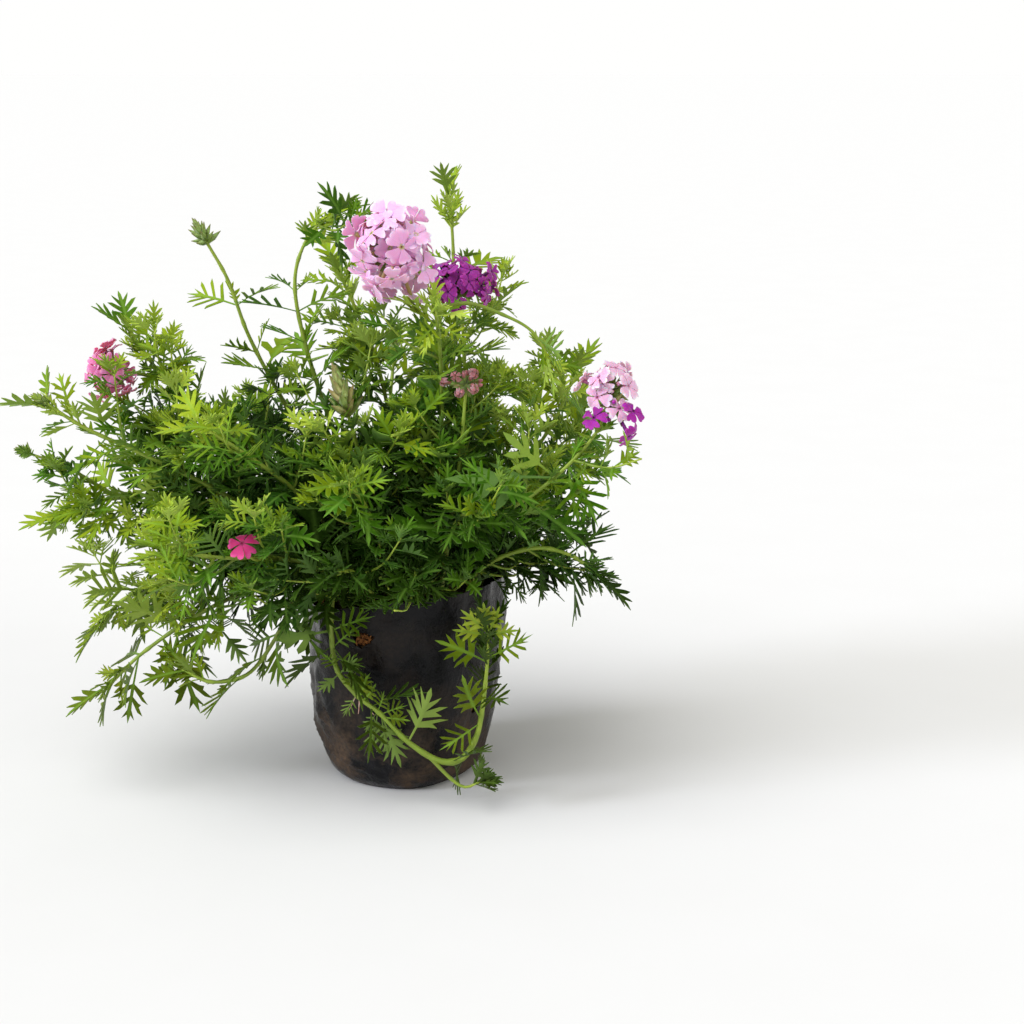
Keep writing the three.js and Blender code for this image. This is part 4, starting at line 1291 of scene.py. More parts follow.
def leaves_of_solid(axis):
    """The leaves that the solid was planned with: opposite pairs, and a tuft at the tip."""
    seed = axis.seed
    leaves = []
    for k in range(axis.pairs):
        share = axis.start + (0.97 - axis.start) * (k + 0.3) / axis.pairs
        for side in (0, 1):
            n = len(leaves)
            leaves.append(dict(
                at=axis.joint(share), sunk=0,
                bearing=math.radians(axis.turn + 90 * k + 180 * side + 16 * (draw(seed, n) - 0.5)),
                pitch=math.radians(62 + 14 * (draw(seed, n + 50) - 0.5)),
                roll=math.radians(90 * (draw(seed, n + 100) - 0.5)),
                length=axis.leaf * (0.72 + 0.2 * (1 - k / axis.pairs) + 0.22 * draw(seed, n + 150)),
                droop=0.08 + 0.24 * draw(seed, n + 200),
                kind="broad" if draw(seed, n + 250) < 0.22 else "cut",
            ))
    for k in range(axis.tip):
        leaves.append(dict(
            at=1, sunk=1.3,
            bearing=math.radians(axis.turn + 40 + 360 / axis.tip * k),
            pitch=math.radians(32 + 14 * (draw(seed, k + 300) - 0.5)),
            roll=math.radians(90 * (draw(seed, k + 350) - 0.5)),
            length=axis.leaf * 0.66,
            droop=0.06 + 0.12 * draw(seed, k + 400),
            kind="young",
        ))
    return leaves


def leaf_frame(path, leaf, turn=0.0, tilt=0.0):
    """A leaf's frame at its foot: along its midrib, across it and out of its upper face."""
    ahead = path.ahead(leaf["at"])
    right = ahead.cross(SIDEWAYS).normalized()
    front = ahead.cross(right)
    bearing = leaf["bearing"] + math.radians(turn)
    pitch = leaf["pitch"] + math.radians(tilt)
    out = right * math.cos(bearing) + front * math.sin(bearing)
    along = ahead * math.cos(pitch) + out * math.sin(pitch)
    face = ahead + UP * 1.2
    face = (face - along * face.dot(along)).normalized()
    face.rotate(Quaternion(along, leaf["roll"]))
    across = face.cross(along)
    foot = path.at(leaf["at"]) - ahead * leaf["sunk"] + out * 0.5
    placing = Matrix((along, across, face)).transposed().to_4x4()
    placing.translation = foot
    return placing


# The furthest points of the solids' leaf outlines, by which a leaf is found in its solid, and how
# thick the solids' leaves are.
SOLID_LEAF_THICKNESS = 0.8
TIPS = {
    "cut": [(1, 0), (0.58, 0.34), (0.58, -0.34), (0.85, 0.26), (0.85, -0.26)],
    "broad": [(1, 0), (0.62, 0.28), (0.62, -0.28)],
    "young": [(1, 0), (0.71, 0.34), (0.71, -0.34)],
}


def find_leaf(points, path, leaf):
    """The frame and length that a planned leaf has in its solid, or None where it has none there."""
    best = (0, None)
    for size in (1, 0.8):
        length = leaf["length"] * size
        for tilt in (0, 20, -20):
            for turn in (0, 22, -22, 44, -44, 66, -66):
                placing = leaf_frame(path, leaf, turn, tilt)
                move = arched(placing, length, SOLID_LEAF_THICKNESS, LEAF_FOLD, leaf["droop"])
                tips = [move(Vector((u, v, side))) for u, v in TIPS[leaf["kind"]] for side in (-0.5, 0.5)]
                met = sum(points.find(tip)[2] < 0.12 for tip in tips) / len(tips)
                if met > best[0]:
                    best = (met, (placing, length))
    return best[1] if best[0] >= 0.4 else None


def points_of(node):
    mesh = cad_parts[node].data
    tree = kdtree.KDTree(len(mesh.vertices))
    for vert in mesh.vertices:
        tree.insert(vert.co / MM, vert.index)
    tree.balance()
    return tree


# ---------------------------------------------------------------- leafy stems


class Room:
    """The space that more leaves may grow in: clear of the bag, the soil, the floor and the flowers."""

    GAP = 1.5  # between leaves and the floor, the rim and the soil
    FILM_GAP = 2.2

    def __init__(self, blooms):
        self.low, self.high = (Vector(corner) / MM for corner in CAD_BOX)
        self.blooms = blooms

    def has(self, point):
        x, y, z = point
        inside_box = all(low < part < high for low, part, high in zip(self.low, point, self.high))
        if not inside_box or z < self.GAP:
            return False
        bearing, away = math.atan2(y, x), math.hypot(x, y)
        if z < BAG_TOP + rim_rise(bearing) + self.GAP:
            wall = bag_radius(bearing, min(z, BAG_TOP))
            if abs(away - wall) < self.FILM_GAP or (away < wall and z < soil_height(x, y) + self.GAP):
                return False
        return all((point - middle).length > reach for middle, reach in self.blooms)


class Foliage:
    """Grows one stem with its branches, shoots and leaves into one shape."""

    def __init__(self, stem, templates, room, thickness):
        self.stem = stem
        self.templates = templates
        self.room = room
        self.thickness = thickness
        self.rng = random.Random(stem["name"])
        self.points = points_of(stem["name"])
        self.bm = new_shape()
        self.leaves = []
        self.mood = self.rng.uniform(-0.1, 0.1)

    def fits(self, point):
        """Whether there is room for a leaf at a place."""
        left, right = FRONT_SIDES
        low = point.z < FRINGE - FRINGE_RISE * point.y
        in_front = left < point.x < right and point.y < FRONT_FACE and low
        hides = any(distance_to(point, Vector(a), Vector(b)) < gap for a, b, gap in CLEARINGS)
        return self.room.has(point) and not hides and (self.stem.get("trails", False) or not in_front)

    def tone(self, place, share, extra=0.0):
        """How young a leaf is: old and dark in the crown's heart, and brighter outside. Its tone also carries
        painted light and shade: painted shade in the heart and low down under the crown, and painted light at
        -X and at the top.
        """
        # The shares of a place in the band at -X that gets painted light, in the painted shade low down under
        # the crown, and in the top, which gets painted light.
        left = clamped((-place.x - 30) / 90)
        band = left * clamped((175 - place.z) / 50) * clamped((place.z - 60) / 40)
        under = (1 - left) * clamped((158 - place.z) / 45)
        top = clamped((place.z - 165) / 50)
        # outward darkens the heart, for older leaves and as painted shade; band and top add painted light,
        # and under takes away painted shade.
        grown = 0.06 + 0.4 * outward(place) ** 1.2 + 0.28 * band + 0.16 * top - 0.72 * under + 0.12 * share
        return clamped(grown + self.mood + extra + self.rng.uniform(-0.13, 0.13))

    def grow_axis(self, axis, tone_low, tone_high, sides=8, step=2.6):
        length = axis.path.length
        nodes = max(2, round(length / 15))

        def side_at(share):
            knot = 0.2 * math.exp(-(((share * nodes + 0.5) % 1 - 0.5) * length / nodes / 1.6) ** 2)
            bend = axis.swell * math.exp(-(((share - 0.68) / 0.13) ** 2))
            return axis.side * (mix(1.1, 0.58, share) + knot + bend)

        sections = max(6, round(length / step))
        rod(self.bm, axis.path, side_at, sections, lambda share: mix(tone_low, tone_high, share), BARK, sides)

    def put_leaf(self, kind, placing, length, droop, tone, **bend):
        self.leaves.append((kind, placing, length, droop, tone, bend))

    def solid_leaves(self, axis):
        """Finer leaves in the place of each leaf that the solid has."""
        for leaf in leaves_of_solid(axis):
            found = find_leaf(self.points, axis.path, leaf)
            if not found:
                continue
            placing, length = found
            middle = placing @ Vector((0.6 * length, 0, 0))
            kind = leaf["kind"] if leaf["kind"] != "cut" or self.rng.random() < 0.5 else "fine"
            kind = "fine" if kind == "broad" and closeness(middle) < 0.5 else kind
            tone = self.tone(middle, leaf["at"])
            self.put_leaf(kind, placing, length, leaf["droop"], tone, sway=self.rng.uniform(-0.06, 0.06))

    def try_leaf(self, axis, kind, leaf, extra=0.0, tries=4):
        """Adds a leaf where there is room for it, turning it to find some."""
        for _ in range(tries):
            placing = leaf_frame(axis.path, leaf)
            move = arched(placing, leaf["length"], self.thickness, LEAF_FOLD, leaf["droop"])
            if all(self.fits(move(Vector((u, v, 0)))) for u, v in LEAF_MARKS):
                tone = self.tone(move(Vector((0.6, 0, 0))), leaf["at"], extra)
                bend = dict(
                    sway=self.rng.uniform(-0.16, 0.16),
                    twist=self.rng.uniform(-0.6, 0.6),
                    cup=self.rng.uniform(-0.25, 0.3),
                )
                self.put_leaf(kind, placing, leaf["length"], leaf["droop"], tone, **bend)
                return True
            leaf = dict(leaf, bearing=leaf["bearing"] + 0.7, pitch=leaf["pitch"] * 0.85)
        return False

    def leaf_at(self, share, bearing, pitch, length, droop=LEAF_DROOP):
        rng = self.rng
        return dict(
            at=share, sunk=0,
            bearing=bearing + rng.uniform(-0.25, 0.25),
            pitch=math.radians(pitch + rng.uniform(-12, 12)),
            roll=rng.uniform(-0.8, 0.8),
            length=length * rng.uniform(0.82, 1.15),
            droop=rng.uniform(*droop),
        )

    def fill_axis(self, axis, first, spacing, size, shoots):
        """Leaf pairs between the solid's own, tufts of small leaves in their axils, and side shoots."""
        rng = self.rng
        length = axis.path.length
        taken = [leaf["at"] for leaf in leaves_of_solid(axis) if leaf["sunk"] == 0]
        kinds = ("cut", "fine", "broad", "young", "palm", "long")
        hangs = self.stem.get("hangs", False)
        bearing = math.radians(axis.turn + 45)
        share = first
        while share < 0.97:
            is_taken = any(abs(share - other) * length < 5.5 for other in taken)
            place = axis.path.at(share)
            close = closeness(place)
            broad = 3 if outward(place) < 0.45 else 0.5 * (close > 0.6)
            for side in (0, 1):
                around = bearing + math.pi * side
                if not is_taken and rng.random() < mix(0.8, 0.95, close):
                    long = 20 if hangs else mix(7, 1, close)
                    kind = rng.choices(kinds, (4, 6, broad, 1, close > 0.6, long))[0]
                    length_here = size * mix(1, 0.72, share) * mix(0.72, 1, close)
                    length_here *= 1.25 if kind == "long" else 1
                    droop = HANGING_DROOP if hangs else LEAF_DROOP
                    leaf = self.leaf_at(share, around, 62 - 20 * share, length_here, droop)
                    self.try_leaf(axis, kind, leaf)
                if rng.random() < mix(0.4, 0.65, close):
                    self.tuft(axis, share, around, 2, 12)
            if rng.random() < shoots * mix(0.15, 1, close):
                self.side_shoot(axis, share, bearing + rng.choice((0.8, 2.4, 3.9, 5.5)))
            share += spacing / length * mix(1.9, 1, close)
            bearing += math.pi / 2

    def tuft(self, axis, share, bearing, count, size):
        for k in range(count):
            length = size * self.rng.uniform(0.6, 1.1)
            leaf = self.leaf_at(share, bearing + 0.5 * (k - 1), 34, length, (-0.1, 0.2))
            self.try_leaf(axis, "small", leaf, 0.08, tries=2)

    def tip_rosette(self, axis, count, size, extra=0.22):
        """The cluster of young leaves that closes a growing tip."""
        for k in range(count):
            bearing = GOLDEN_ANGLE * k + axis.turn
            share = 1 - 0.012 * k
            length = size * mix(0.55, 1.1, k / count)
            leaf = self.leaf_at(share, bearing, mix(12, 55, k / count), length, (-0.12, 0.16))
            self.try_leaf(axis, "small" if k < count / 3 else "young", leaf, extra, tries=2)

    def side_shoot(self, parent, share, bearing, tries=3):
        """A short side shoot with small leaves, that leans out of its axil and up to the light."""
        rng = self.rng
        length = rng.uniform(18, 44)
        ahead = parent.path.ahead(share)
        right = ahead.cross(SIDEWAYS).normalized()
        start = parent.path.at(share)
        for _ in range(tries):
            out = right * math.cos(bearing) + ahead.cross(right) * math.sin(bearing)
            lean = (ahead * 0.6 + out).normalized()
            middle = start + lean * length * 0.5
            tip = middle + (lean + UP * rng.uniform(0.3, 1.1)).normalized() * length * 0.5
            if self.fits(middle) and self.fits(tip):
                break
            bearing += 1.6
        else:
            return
        mood = rng.uniform(-0.24, 0.24)
        shoot = Axis(dict(turn=rng.uniform(0, 90)), [start, middle, tip], SHOOT_SIDE, 0)
        self.grow_axis(shoot, 0.6, 1.0, sides=6, step=4.5)
        for k in range(1, 5):
            at = k / 5
            for side in (0, math.pi):
                leaf = self.leaf_at(at, 1.57 * k + side, 58, rng.uniform(15, 22))
                self.try_leaf(shoot, rng.choice(("fine", "young")), leaf, 0.06 + mood)
        self.tip_rosette(shoot, 7, 15, 0.22 + mood)

    def bud_cluster(self, axis):
        """A young flower head: a cone of overlapping pointed sleeves round the stem's end."""
        ahead = axis.path.ahead(1)
        length, widest, lowest, largest, driest = axis.bud, 78, 0.02, 0.62, 0.2
        if self.stem.get("spent", False):
            length, widest, lowest, largest, driest = axis.bud * 1.65, 52, -0.12, 0.5, 0.5
        base = Matrix.Translation(axis.path.at(1) - ahead * 0.1 * length) @ turn_from_out(ahead)
        sleeves = 26
        for k in range(sleeves):
            share = k / (sleeves - 1)
            way = way_from_out(math.radians(mix(widest, 4, share**0.8)), GOLDEN_ANGLE * k)
            placing = slid(base, length * mix(lowest, 0.46, share)) @ turn_from_out(way)
            size = length * mix(largest, 0.5, share) * self.rng.uniform(0.8, 1.1)
            tone = driest + 0.35 * self.rng.random()
            set_in(self.bm, self.templates["sleeve"], sized(placing, size), tone)

    def place_leaf(self, axis, share, way, length, kind, tone, shown):
        """A single leaf that points in a way of its own and shows one of its faces to -Y."""
        along = Vector(way).normalized()
        face = Vector(SHOWN[shown])
        face = (face - along * face.dot(along)).normalized()
        placing = Matrix((along, face.cross(along), face)).transposed().to_4x4()
        placing.translation = axis.path.at(share) + along * 0.5
        bend = dict(sway=self.rng.uniform(-0.12, 0.12), twist=self.rng.uniform(-0.3, 0.3), cup=0.1)
        self.put_leaf(kind, placing, length, 0.12 if face.z > 0 else -0.12, tone, **bend)

    def root(self, start, way, length):
        """A thin pale root from a node of a shoot that lies against the bag."""
        rng = self.rng
        points = [start]
        for _ in range(3):
            wander = Vector(way) + push_at(points[-1]) * 0.7
            points.append(points[-1] + wander.normalized() * length / 3)
        path = Path(points)
        rod(self.bm, path, lambda share: mix(0.6, 0.3, share), 7, lambda share: rng.uniform(0, 0.2), ROOTLET)

    def bristles(self, axis, count):
        """The short stiff hairs that make a verbena's stem rough."""
        rng = self.rng
        for k in range(count):
            share = mix(0.35, 0.99, (k + rng.random()) / count)
            ahead = axis.path.ahead(share)
            right = ahead.cross(SIDEWAYS).normalized()
            out = right.copy()
            out.rotate(Quaternion(ahead, rng.uniform(0, 2 * math.pi)))
            start = axis.path.at(share) + out * axis.side * 0.36
            if self.fits(start + out * 1.5):
                turn = turn_from_out(out + ahead * rng.uniform(0.1, 0.6))
                move = sized(Matrix.Translation(start) @ turn, rng.uniform(0.7, 1.3))
                set_in(self.bm, self.templates["bristle"], move, 0.8)

    def grow(self, axes):
        """Grows the whole stem and returns its shape."""
        stem = self.stem
        fill = stem.get("fill", 1)
        for n, axis in enumerate(axes):
            self.grow_axis(axis, stem.get("bark", 0.3) if n == 0 else 0.5, 0.9)
        for n, axis in enumerate(axes):
            self.solid_leaves(axis)
            first = bare_share(axis) if n == 0 else 0.3
            shoots = stem.get("shoots", 1) * (0.95 if n == 0 else 0.2)
            if fill:
                self.fill_axis(axis, first, LEAF_SPACING / fill, axis.leaf * 0.84, shoots)
            if axis.tip:
                self.tip_rosette(axis, 9, 16)
            if axis.bud:
                self.bud_cluster(axis)
            self.bristles(axis, round(axis.path.length / BRISTLE_SPACING))
        for share, way, length in stem.get("roots", ()):
            self.root(axes[0].path.at(share), way, length)
        for share, *leaf in stem.get("placed", ()):
            self.place_leaf(axes[0], share, *leaf)
        for kind, placing, length, droop, tone, bend in self.leaves:
            move = arched(placing, length, self.thickness, LEAF_FOLD, droop, **bend)
            set_in(self.bm, self.templates[kind], move, tone)
        return self.bm


def bare_share(axis):
    """How far along a stem the first leaves stand: past the rim of the bag."""
    for k in range(100):
        point = axis.path.at(k / 100)
        if point.z > BAG_TOP + 3 or math.hypot(point.x, point.y) > 54:
            return min(k / 100 + 0.02, 0.9)
    return 0.5


def leaf_templates():
    templates = {kind: blade_template(kind, blunted(half), bends) for kind, (half, bends) in LEAVES.items()}
    return templates | dict(sleeve=sleeve_template(CALYX), bristle=bristle_template())


def sleeve_template(material_index):
    """A pointed five-sided calyx 1 long, from the origin along +Y."""
    bm = new_shape()
    bmesh.ops.create_cone(bm, cap_ends=True, segments=5, radius1=0.1, radius2=0.16, depth=0.45)
    top = max(bm.faces, key=lambda face: face.calc_center_median().z)
    made = bmesh.ops.extrude_face_region(bm, geom=[top])["geom"]
    tip = [v for v in made if isinstance(v, bmesh.types.BMVert)]
    bmesh.ops.translate(bm, vec=(0, 0, 0.5), verts=tip)
    bmesh.ops.scale(bm, vec=(0.1, 0.1, 1), verts=tip)
    lay_along_y(bm, 0.45)
    return as_template(bm, "sleeve", material_index)


def bristle_template():
    bm = new_shape()
    bmesh.ops.create_cone(bm, cap_ends=True, segments=3, radius1=0.07, radius2=0.01, depth=1)
    lay_along_y(bm, 1)
    return as_template(bm, "bristle", BARK)


def lay_along_y(bm, depth):
    """Turns what was made of an upright cone round the origin, so that it starts there along +Y."""
    bmesh.ops.translate(bm, vec=(0, 0, depth / 2), verts=bm.verts)
    bmesh.ops.rotate(bm, cent=(0, 0, 0), matrix=Matrix.Rotation(-math.pi / 2, 3, "X"), verts=bm.verts)


def as_template(bm, name, material_index):
    """Keeps a shape as a template whose points know how far along +Y they are."""
    bmesh.ops.recalc_face_normals(bm, faces=bm.faces)
    smooth_but_sharp(bm, math.radians(70))
    reach = max(vert.co.y for vert in bm.verts)
    growth = bm.verts.layers.float_color["growth"]
    for vert in bm.verts:
        vert[growth] = (max(vert.co.y, 0) / reach, 0.5, 0.5, 1)
    for face in bm.faces:
        face.material_index = material_index
    return mesh_of(bm, name)


def make_leafy_stems(settings):
    templates = leaf_templates()
    materials = [leaf_material(settings), stem_material(settings)]
    materials += [calyx_material(settings), root_material()]
    axes = axes_of_stems()
    blooms = [(middle_of(head, axes), head["reach"] * 0.8) for head in HEADS]
    room = Room(blooms)
    for stem in STEMS:
        foliage = Foliage(stem, templates, room, settings.leaf_thickness / MM)
        bm = foliage.grow(axes[stem["name"]])
        name = stem["name"].replace("stem", "foliage")
        finish_piece(bm, name, materials, stem["name"])
    for template in templates.values():
        bpy.data.meshes.remove(template)


# ---------------------------------------------------------------- flower heads


def middle_of(head, axes):
    """The middle of a head, just past the end of its stem or against the head beside it."""
    if "against" in head:
        other = next(one for one in HEADS if one["name"] == head["against"])
        way = Vector(head["facing"]).normalized()
        return middle_of(other, axes) + way * (other["core"] + 0.3 + head["core"])
    path = axes[head["on"]][1 if head.get("branch") else 0].path
    return path.at(1) + path.ahead(1) * head["core"] * 0.5


def ways_of(count, spread, first=0.3, inner=0.0, turn=0.0):
    """Ways spread evenly over a cap or band round +Y, from inner to spread degrees from it."""
    top, low = math.cos(math.radians(inner)), math.cos(math.radians(spread))
    for k in range(count):
        away = math.acos(top - (top - low) * (k + first) / count)
        yield way_from_out(away, GOLDEN_ANGLE * k + turn)


class Bloom:
    """Builds one flower head into one shape."""

    DISH = 1.2  # how far the petals rise from the throat

    def __init__(self, head, templates):
        self.head = head
        self.templates = templates
        self.rng = random.Random(head["name"])
        self.bm = new_shape()

    def put(self, name, placing, stretch=(1, 1, 1), tone=0.3):
        scaled = placing @ Matrix.Diagonal((*stretch, 1))
        set_in(self.bm, self.templates[name], lambda p: scaled @ p, tone)

    def floret(self, placing, petal, reach, foot, looks=None):
        """A toothed sleeve, a slender tube out of it, and five notched petals round its eye."""
        rng = self.rng
        wilt = self.head.get("wilt", 0)
        throat = reach - self.DISH
        base = slid(placing, foot)
        self.put("calyx", base, (1, (throat - foot) * 0.62, 1), 0.6 * rng.random())
        self.put("tube", base, (1, throat - foot + 0.1, 1), 0.2)
        tone = 0.8 * rng.random()
        nod = self.head.get("nod", 0.5)
        forward = Matrix.Rotation(rng.uniform(-nod, nod), 4, "X")
        sideways = Matrix.Rotation(rng.uniform(-nod, nod), 4, "Z")
        mouth = slid(placing, throat) @ (forward @ sideways)
        if looks:
            mouth = Matrix.Translation(mouth.translation) @ turn_from_out(looks)
        for k in range(5):
            turn = math.radians(36 + 72 * k + rng.uniform(-9, 9))
            size = petal * (1 + 0.05 * math.cos(turn)) * rng.uniform(0.86, 1.02)
            lift = rng.uniform(-0.16, 0.16)
            curl = rng.uniform(0.05, 0.38) + wilt
            cup = rng.uniform(-0.7, 0.5)
            wave = rng.uniform(0, 6.28)

            def move(point, turn=turn, size=size, lift=lift, curl=curl, cup=cup, wave=wave):
                u, v = point.x, point.y
                away = 0.5 + u * (size - 0.5)
                height = self.DISH * (1.3 * u - 0.3 * u * u) + size * (lift * u - curl * u**2.6)
                height += size * (cup * v * v + 0.07 * math.sin(9 * v + wave) * u * u)
                height += point.z * PETAL_THICKNESS
                across = Vector((math.cos(turn), 0, -math.sin(turn)))
                radial = Vector((math.sin(turn), 0, math.cos(turn)))
                spread = radial * away * (1 - 0.35 * wilt) + across * v * size * (1 - 0.4 * wilt)
                return mouth @ (spread + OUT * height)

            set_in(self.bm, self.templates["petal"], move, tone)

    def stretch(self, way):
        """How much further than reach a floret stands that points in a way."""
        sideways, above, below = self.head.get("form", (1, 1, 1))
        return Vector((way.x * sideways, way.y, way.z * (above if way.z > 0 else below))).length

    def stray(self, way, most):
        return (way + Vector(self.rng.uniform(-most, most) for _ in range(3))).normalized()

    def make(self, axes):
        head = self.head
        core, reach, spread = head["core"], head["reach"], head.get("spread", 0)
        facing = turn_from_out(head["facing"])
        seat = Matrix.Translation(middle_of(head, axes)) @ facing
        self.put("core", seat, (core * 0.62,) * 3)
        for way in ways_of(head.get("florets", 0), spread):
            petal = head["petal"] * self.rng.uniform(0.88, 1.02)
            length = reach * self.rng.uniform(0.84, 1.03) * self.stretch(facing @ way)
            self.floret(seat @ turn_from_out(self.stray(way, 0.14)), petal, length, core * 0.5)
        for way in ways_of(head.get("between", 0), max(spread * 1.08, 20), 0.7, turn=2.1):
            sunk = reach * self.rng.uniform(0.62, 0.92) * self.stretch(facing @ way)
            self.floret(seat @ turn_from_out(self.stray(way, 0.3)), head["petal"] * 0.92, sunk, core * 0.5)
        for way, length, looks in head.get("singles", ()):
            placing = Matrix.Translation(seat.translation) @ turn_from_out(way)
            self.floret(placing, head["petal"], length, core * 0.5, looks)
        for way in ways_of(head.get("buds", 0), head.get("bud_spread", 40), 0.1):
            placing = seat @ turn_from_out(self.stray(way, 0.2))
            length = reach * self.rng.uniform(0.55, 0.95) * self.stretch(facing @ way)
            length *= head.get("bud_reach", 1)
            self.put("calyx", slid(placing, core * 0.4), (0.9, length * 0.6, 0.9), 0.2)
            self.put("bud", slid(placing, core * 0.4 + length * 0.6), (1, 1.9, 1), 0.3)
        for way in ways_of(head.get("sleeves", 0), 150, inner=50):
            placing = seat @ turn_from_out(way)
            size = reach * self.rng.uniform(0.5, 0.75)
            self.put("sleeve", placing, (size,) * 3, self.rng.uniform(0.2, 0.9))
        return self.bm


def tube_template():
    """A floret's tube 1 long, with the hollow of its throat at the end."""
    bm = new_shape()
    bmesh.ops.create_cone(bm, cap_ends=True, segments=8, radius1=0.62, radius2=1.0, depth=1)
    top = max(bm.faces, key=lambda face: face.calc_center_median().z)
    bmesh.ops.inset_region(bm, faces=[top], thickness=0.45)
    bmesh.ops.translate(bm, vec=(0, 0, -0.12), verts=top.verts)
    lay_along_y(bm, 1)
    template = as_template(bm, "tube", PETALS)
    for point in template.attributes["growth"].data:
        point.color = (0.12 if point.color[0] < 0.95 else 0.02, 0.5, 0.5, 1)
    return template


def calyx_template():
    """An open five-toothed sleeve 1 long, along +Y."""
    bm = new_shape()
    bmesh.ops.create_cone(bm, cap_ends=True, segments=10, radius1=0.8, radius2=1.25, depth=0.8)
    rim = [vert for vert in bm.verts if vert.co.z > 0.39]
    teeth = [vert for vert in rim if round(math.atan2(vert.co.y, vert.co.x) / math.radians(36)) % 2]
    bmesh.ops.translate(bm, vec=(0, 0, 0.2), verts=teeth)
    bmesh.ops.triangulate(bm, faces=[face for face in bm.faces if len(face.verts) > 4])
    lay_along_y(bm, 0.8)
    return as_template(bm, "calyx", HEAD_GREEN)


def round_template(name, material_index):
    bm = new_shape()
    bmesh.ops.create_icosphere(bm, subdivisions=2, radius=1)
    return as_template(bm, name, material_index)


def bloom_templates():
    return dict(
        petal=blade_template("petal", PETAL, 0, end=0.85, cuts=(0.3, 0.55, 0.78)),
        tube=tube_template(),
        calyx=calyx_template(),
        sleeve=sleeve_template(HEAD_GREEN),
        bud=round_template("bud", PETALS),
        core=round_template("core", HEAD_GREEN),
    )


def make_flower_heads(settings, plant):
    templates = bloom_templates()
    green = calyx_material(plant)
    axes = axes_of_stems()
    for head in HEADS:
        colour = getattr(settings, head["petals"])
        petals = petal_material(head["petals"] + "_petals", colour, head["edge"], head["eye"])
        name = head["name"].replace("head", "bloom")
        bm = Bloom(head, templates).make(axes)
        finish_piece(bm, name, [petals, green], head["name"])
    for template in templates.values():
        bpy.data.meshes.remove(template)


# ---------------------------------------------------------------- the stage


def aimed(place, target):
    """The placing of a lamp or camera at a place in metres that looks at a target."""
    way = Vector(target) - Vector(place)
    return Matrix.Translation(place) @ way.to_track_quat("-Z", "Y").to_matrix().to_4x4()


def lamp(name, place, strength, width, colour="#ffffff"):
    """A far soft lamp that shines from the side of a place, as wide as an angle in degrees."""
    light = bpy.data.lights.new(name, "SUN")
    light.energy = strength
    light.angle = math.radians(width)
    light.color = linear(colour)
    holder = bpy.data.objects.new(name, light)
    holder.matrix_world = aimed(place, LIT_PLACE)
    bpy.context.scene.collection.objects.link(holder)


def make_stage(settings):
    scene = bpy.context.scene
    scene.view_settings.view_transform = "Standard"
    bm = bmesh.new()
    bmesh.ops.create_grid(bm, x_segments=2, y_segments=2, size=FLOOR_REACH)
    mesh = mesh_of(bm, "floor")
    mesh.materials.append(floor_material(settings))
    floor = bpy.data.objects.new("floor", mesh)
    scene.collection.objects.link(floor)

    world = bpy.data.worlds.new("studio")
    world.use_nodes = True
    world.node_tree.nodes.clear()
    tree = world.node_tree
    ray = add(tree, "LightPath").outputs["Is Camera Ray"]
    glow = add(tree, "Background", {"Color": (1, 0.99, 0.93, 1), "Strength": settings.ambient})
    seen = add(tree, "Background", {"Color": solid(settings.backdrop), "Strength": 1})
    add(tree, "OutputWorld", {"Surface": add(tree, "MixShader", {0: ray, 1: glow, 2: seen})})
    scene.world = world
    lamp("overhead", (-0.45, -0.5, 1.33), settings.overhead, 55)
    lamp("side", (1.1, -0.8, 0.7), settings.side, 27)
    lamp("window", (-2.4, -0.85, 1.0), settings.window, 15, "#f0f3ff")

    target = Vector(VIEW_TARGET) * MM
    rise = math.radians(settings.elevation)
    distance = settings.distance
    eye = target + Vector((0, -math.cos(rise), math.sin(rise))) * distance
    camera = bpy.data.cameras.new("camera")
    camera.sensor_width = 36
    camera.lens = camera.sensor_width * distance / settings.view_width
    camera.clip_start = 0.01
    holder = bpy.data.objects.new("camera", camera)
    holder.matrix_world = aimed(eye, target)
    scene.collection.objects.link(holder)
    scene.camera = holder


# ---------------------------------------------------------------- settings, operators and panel


def number_setting(name, description, default, **more):
    return bpy.props.FloatProperty(name=name, description=description, default=default, **more)


def length_setting(name, description, default):
    return number_setting(name, description, default, min=0, unit="LENGTH")


def colour_setting(name, description, code):
    kind = dict(subtype="COLOR", size=3, min=0, max=1)
    return bpy.props.FloatVectorProperty(name=name, description=description, default=linear(code), **kind)


class BagSettings(bpy.types.PropertyGroup):
    """The nursery bag and what fills it"""

    film_thickness: length_setting("Film thickness", "Thickness of the polythene film", 0.0005)
    film: colour_setting("Film", "Colour of the clean film", "#070709")
    dust: colour_setting("Dust", "Colour of the dried mud on the film", "#544436")
    soil: colour_setting("Soil", "Colour of the potting mix", "#3a271b")


class PlantSettings(bpy.types.PropertyGroup):
    """The leaves and stems"""

    leaf_thickness: length_setting("Leaf thickness", "Thickness of a leaf blade", 0.0004)
    old_leaf: colour_setting("Old leaf", "Upper face of the oldest leaves", "#173106")
    leaf: colour_setting("Leaf", "Upper face of a grown leaf", "#3d680a")
    young_leaf: colour_setting("Young leaf", "Upper face of the leaves at a growing tip", "#92a61a")
    leaf_back: colour_setting("Leaf back", "Under face of a leaf", "#7d9c5c")
    stem: colour_setting("Stem", "Colour of a green stem", "#7b942c")


class BloomSettings(bpy.types.PropertyGroup):
    """The colours of the flower heads"""

    pale_pink: colour_setting("Pale pink", "Petals of the large pale head", "#eda6d6")
    purple: colour_setting("Purple", "Petals of the purple head", "#8c128a")
    rose: colour_setting("Rose", "Petals of the rose head at -X", "#dc70a8")
    blush: colour_setting("Blush", "Petals of the pale head on the right", "#e7a6cb")
    magenta: colour_setting("Magenta", "Petals of the small magenta head", "#960c96")
    faded: colour_setting("Faded", "Petals of the spent head", "#a0646a")
    hot_pink: colour_setting("Hot pink", "Petals of the single low floret", "#ca1b72")


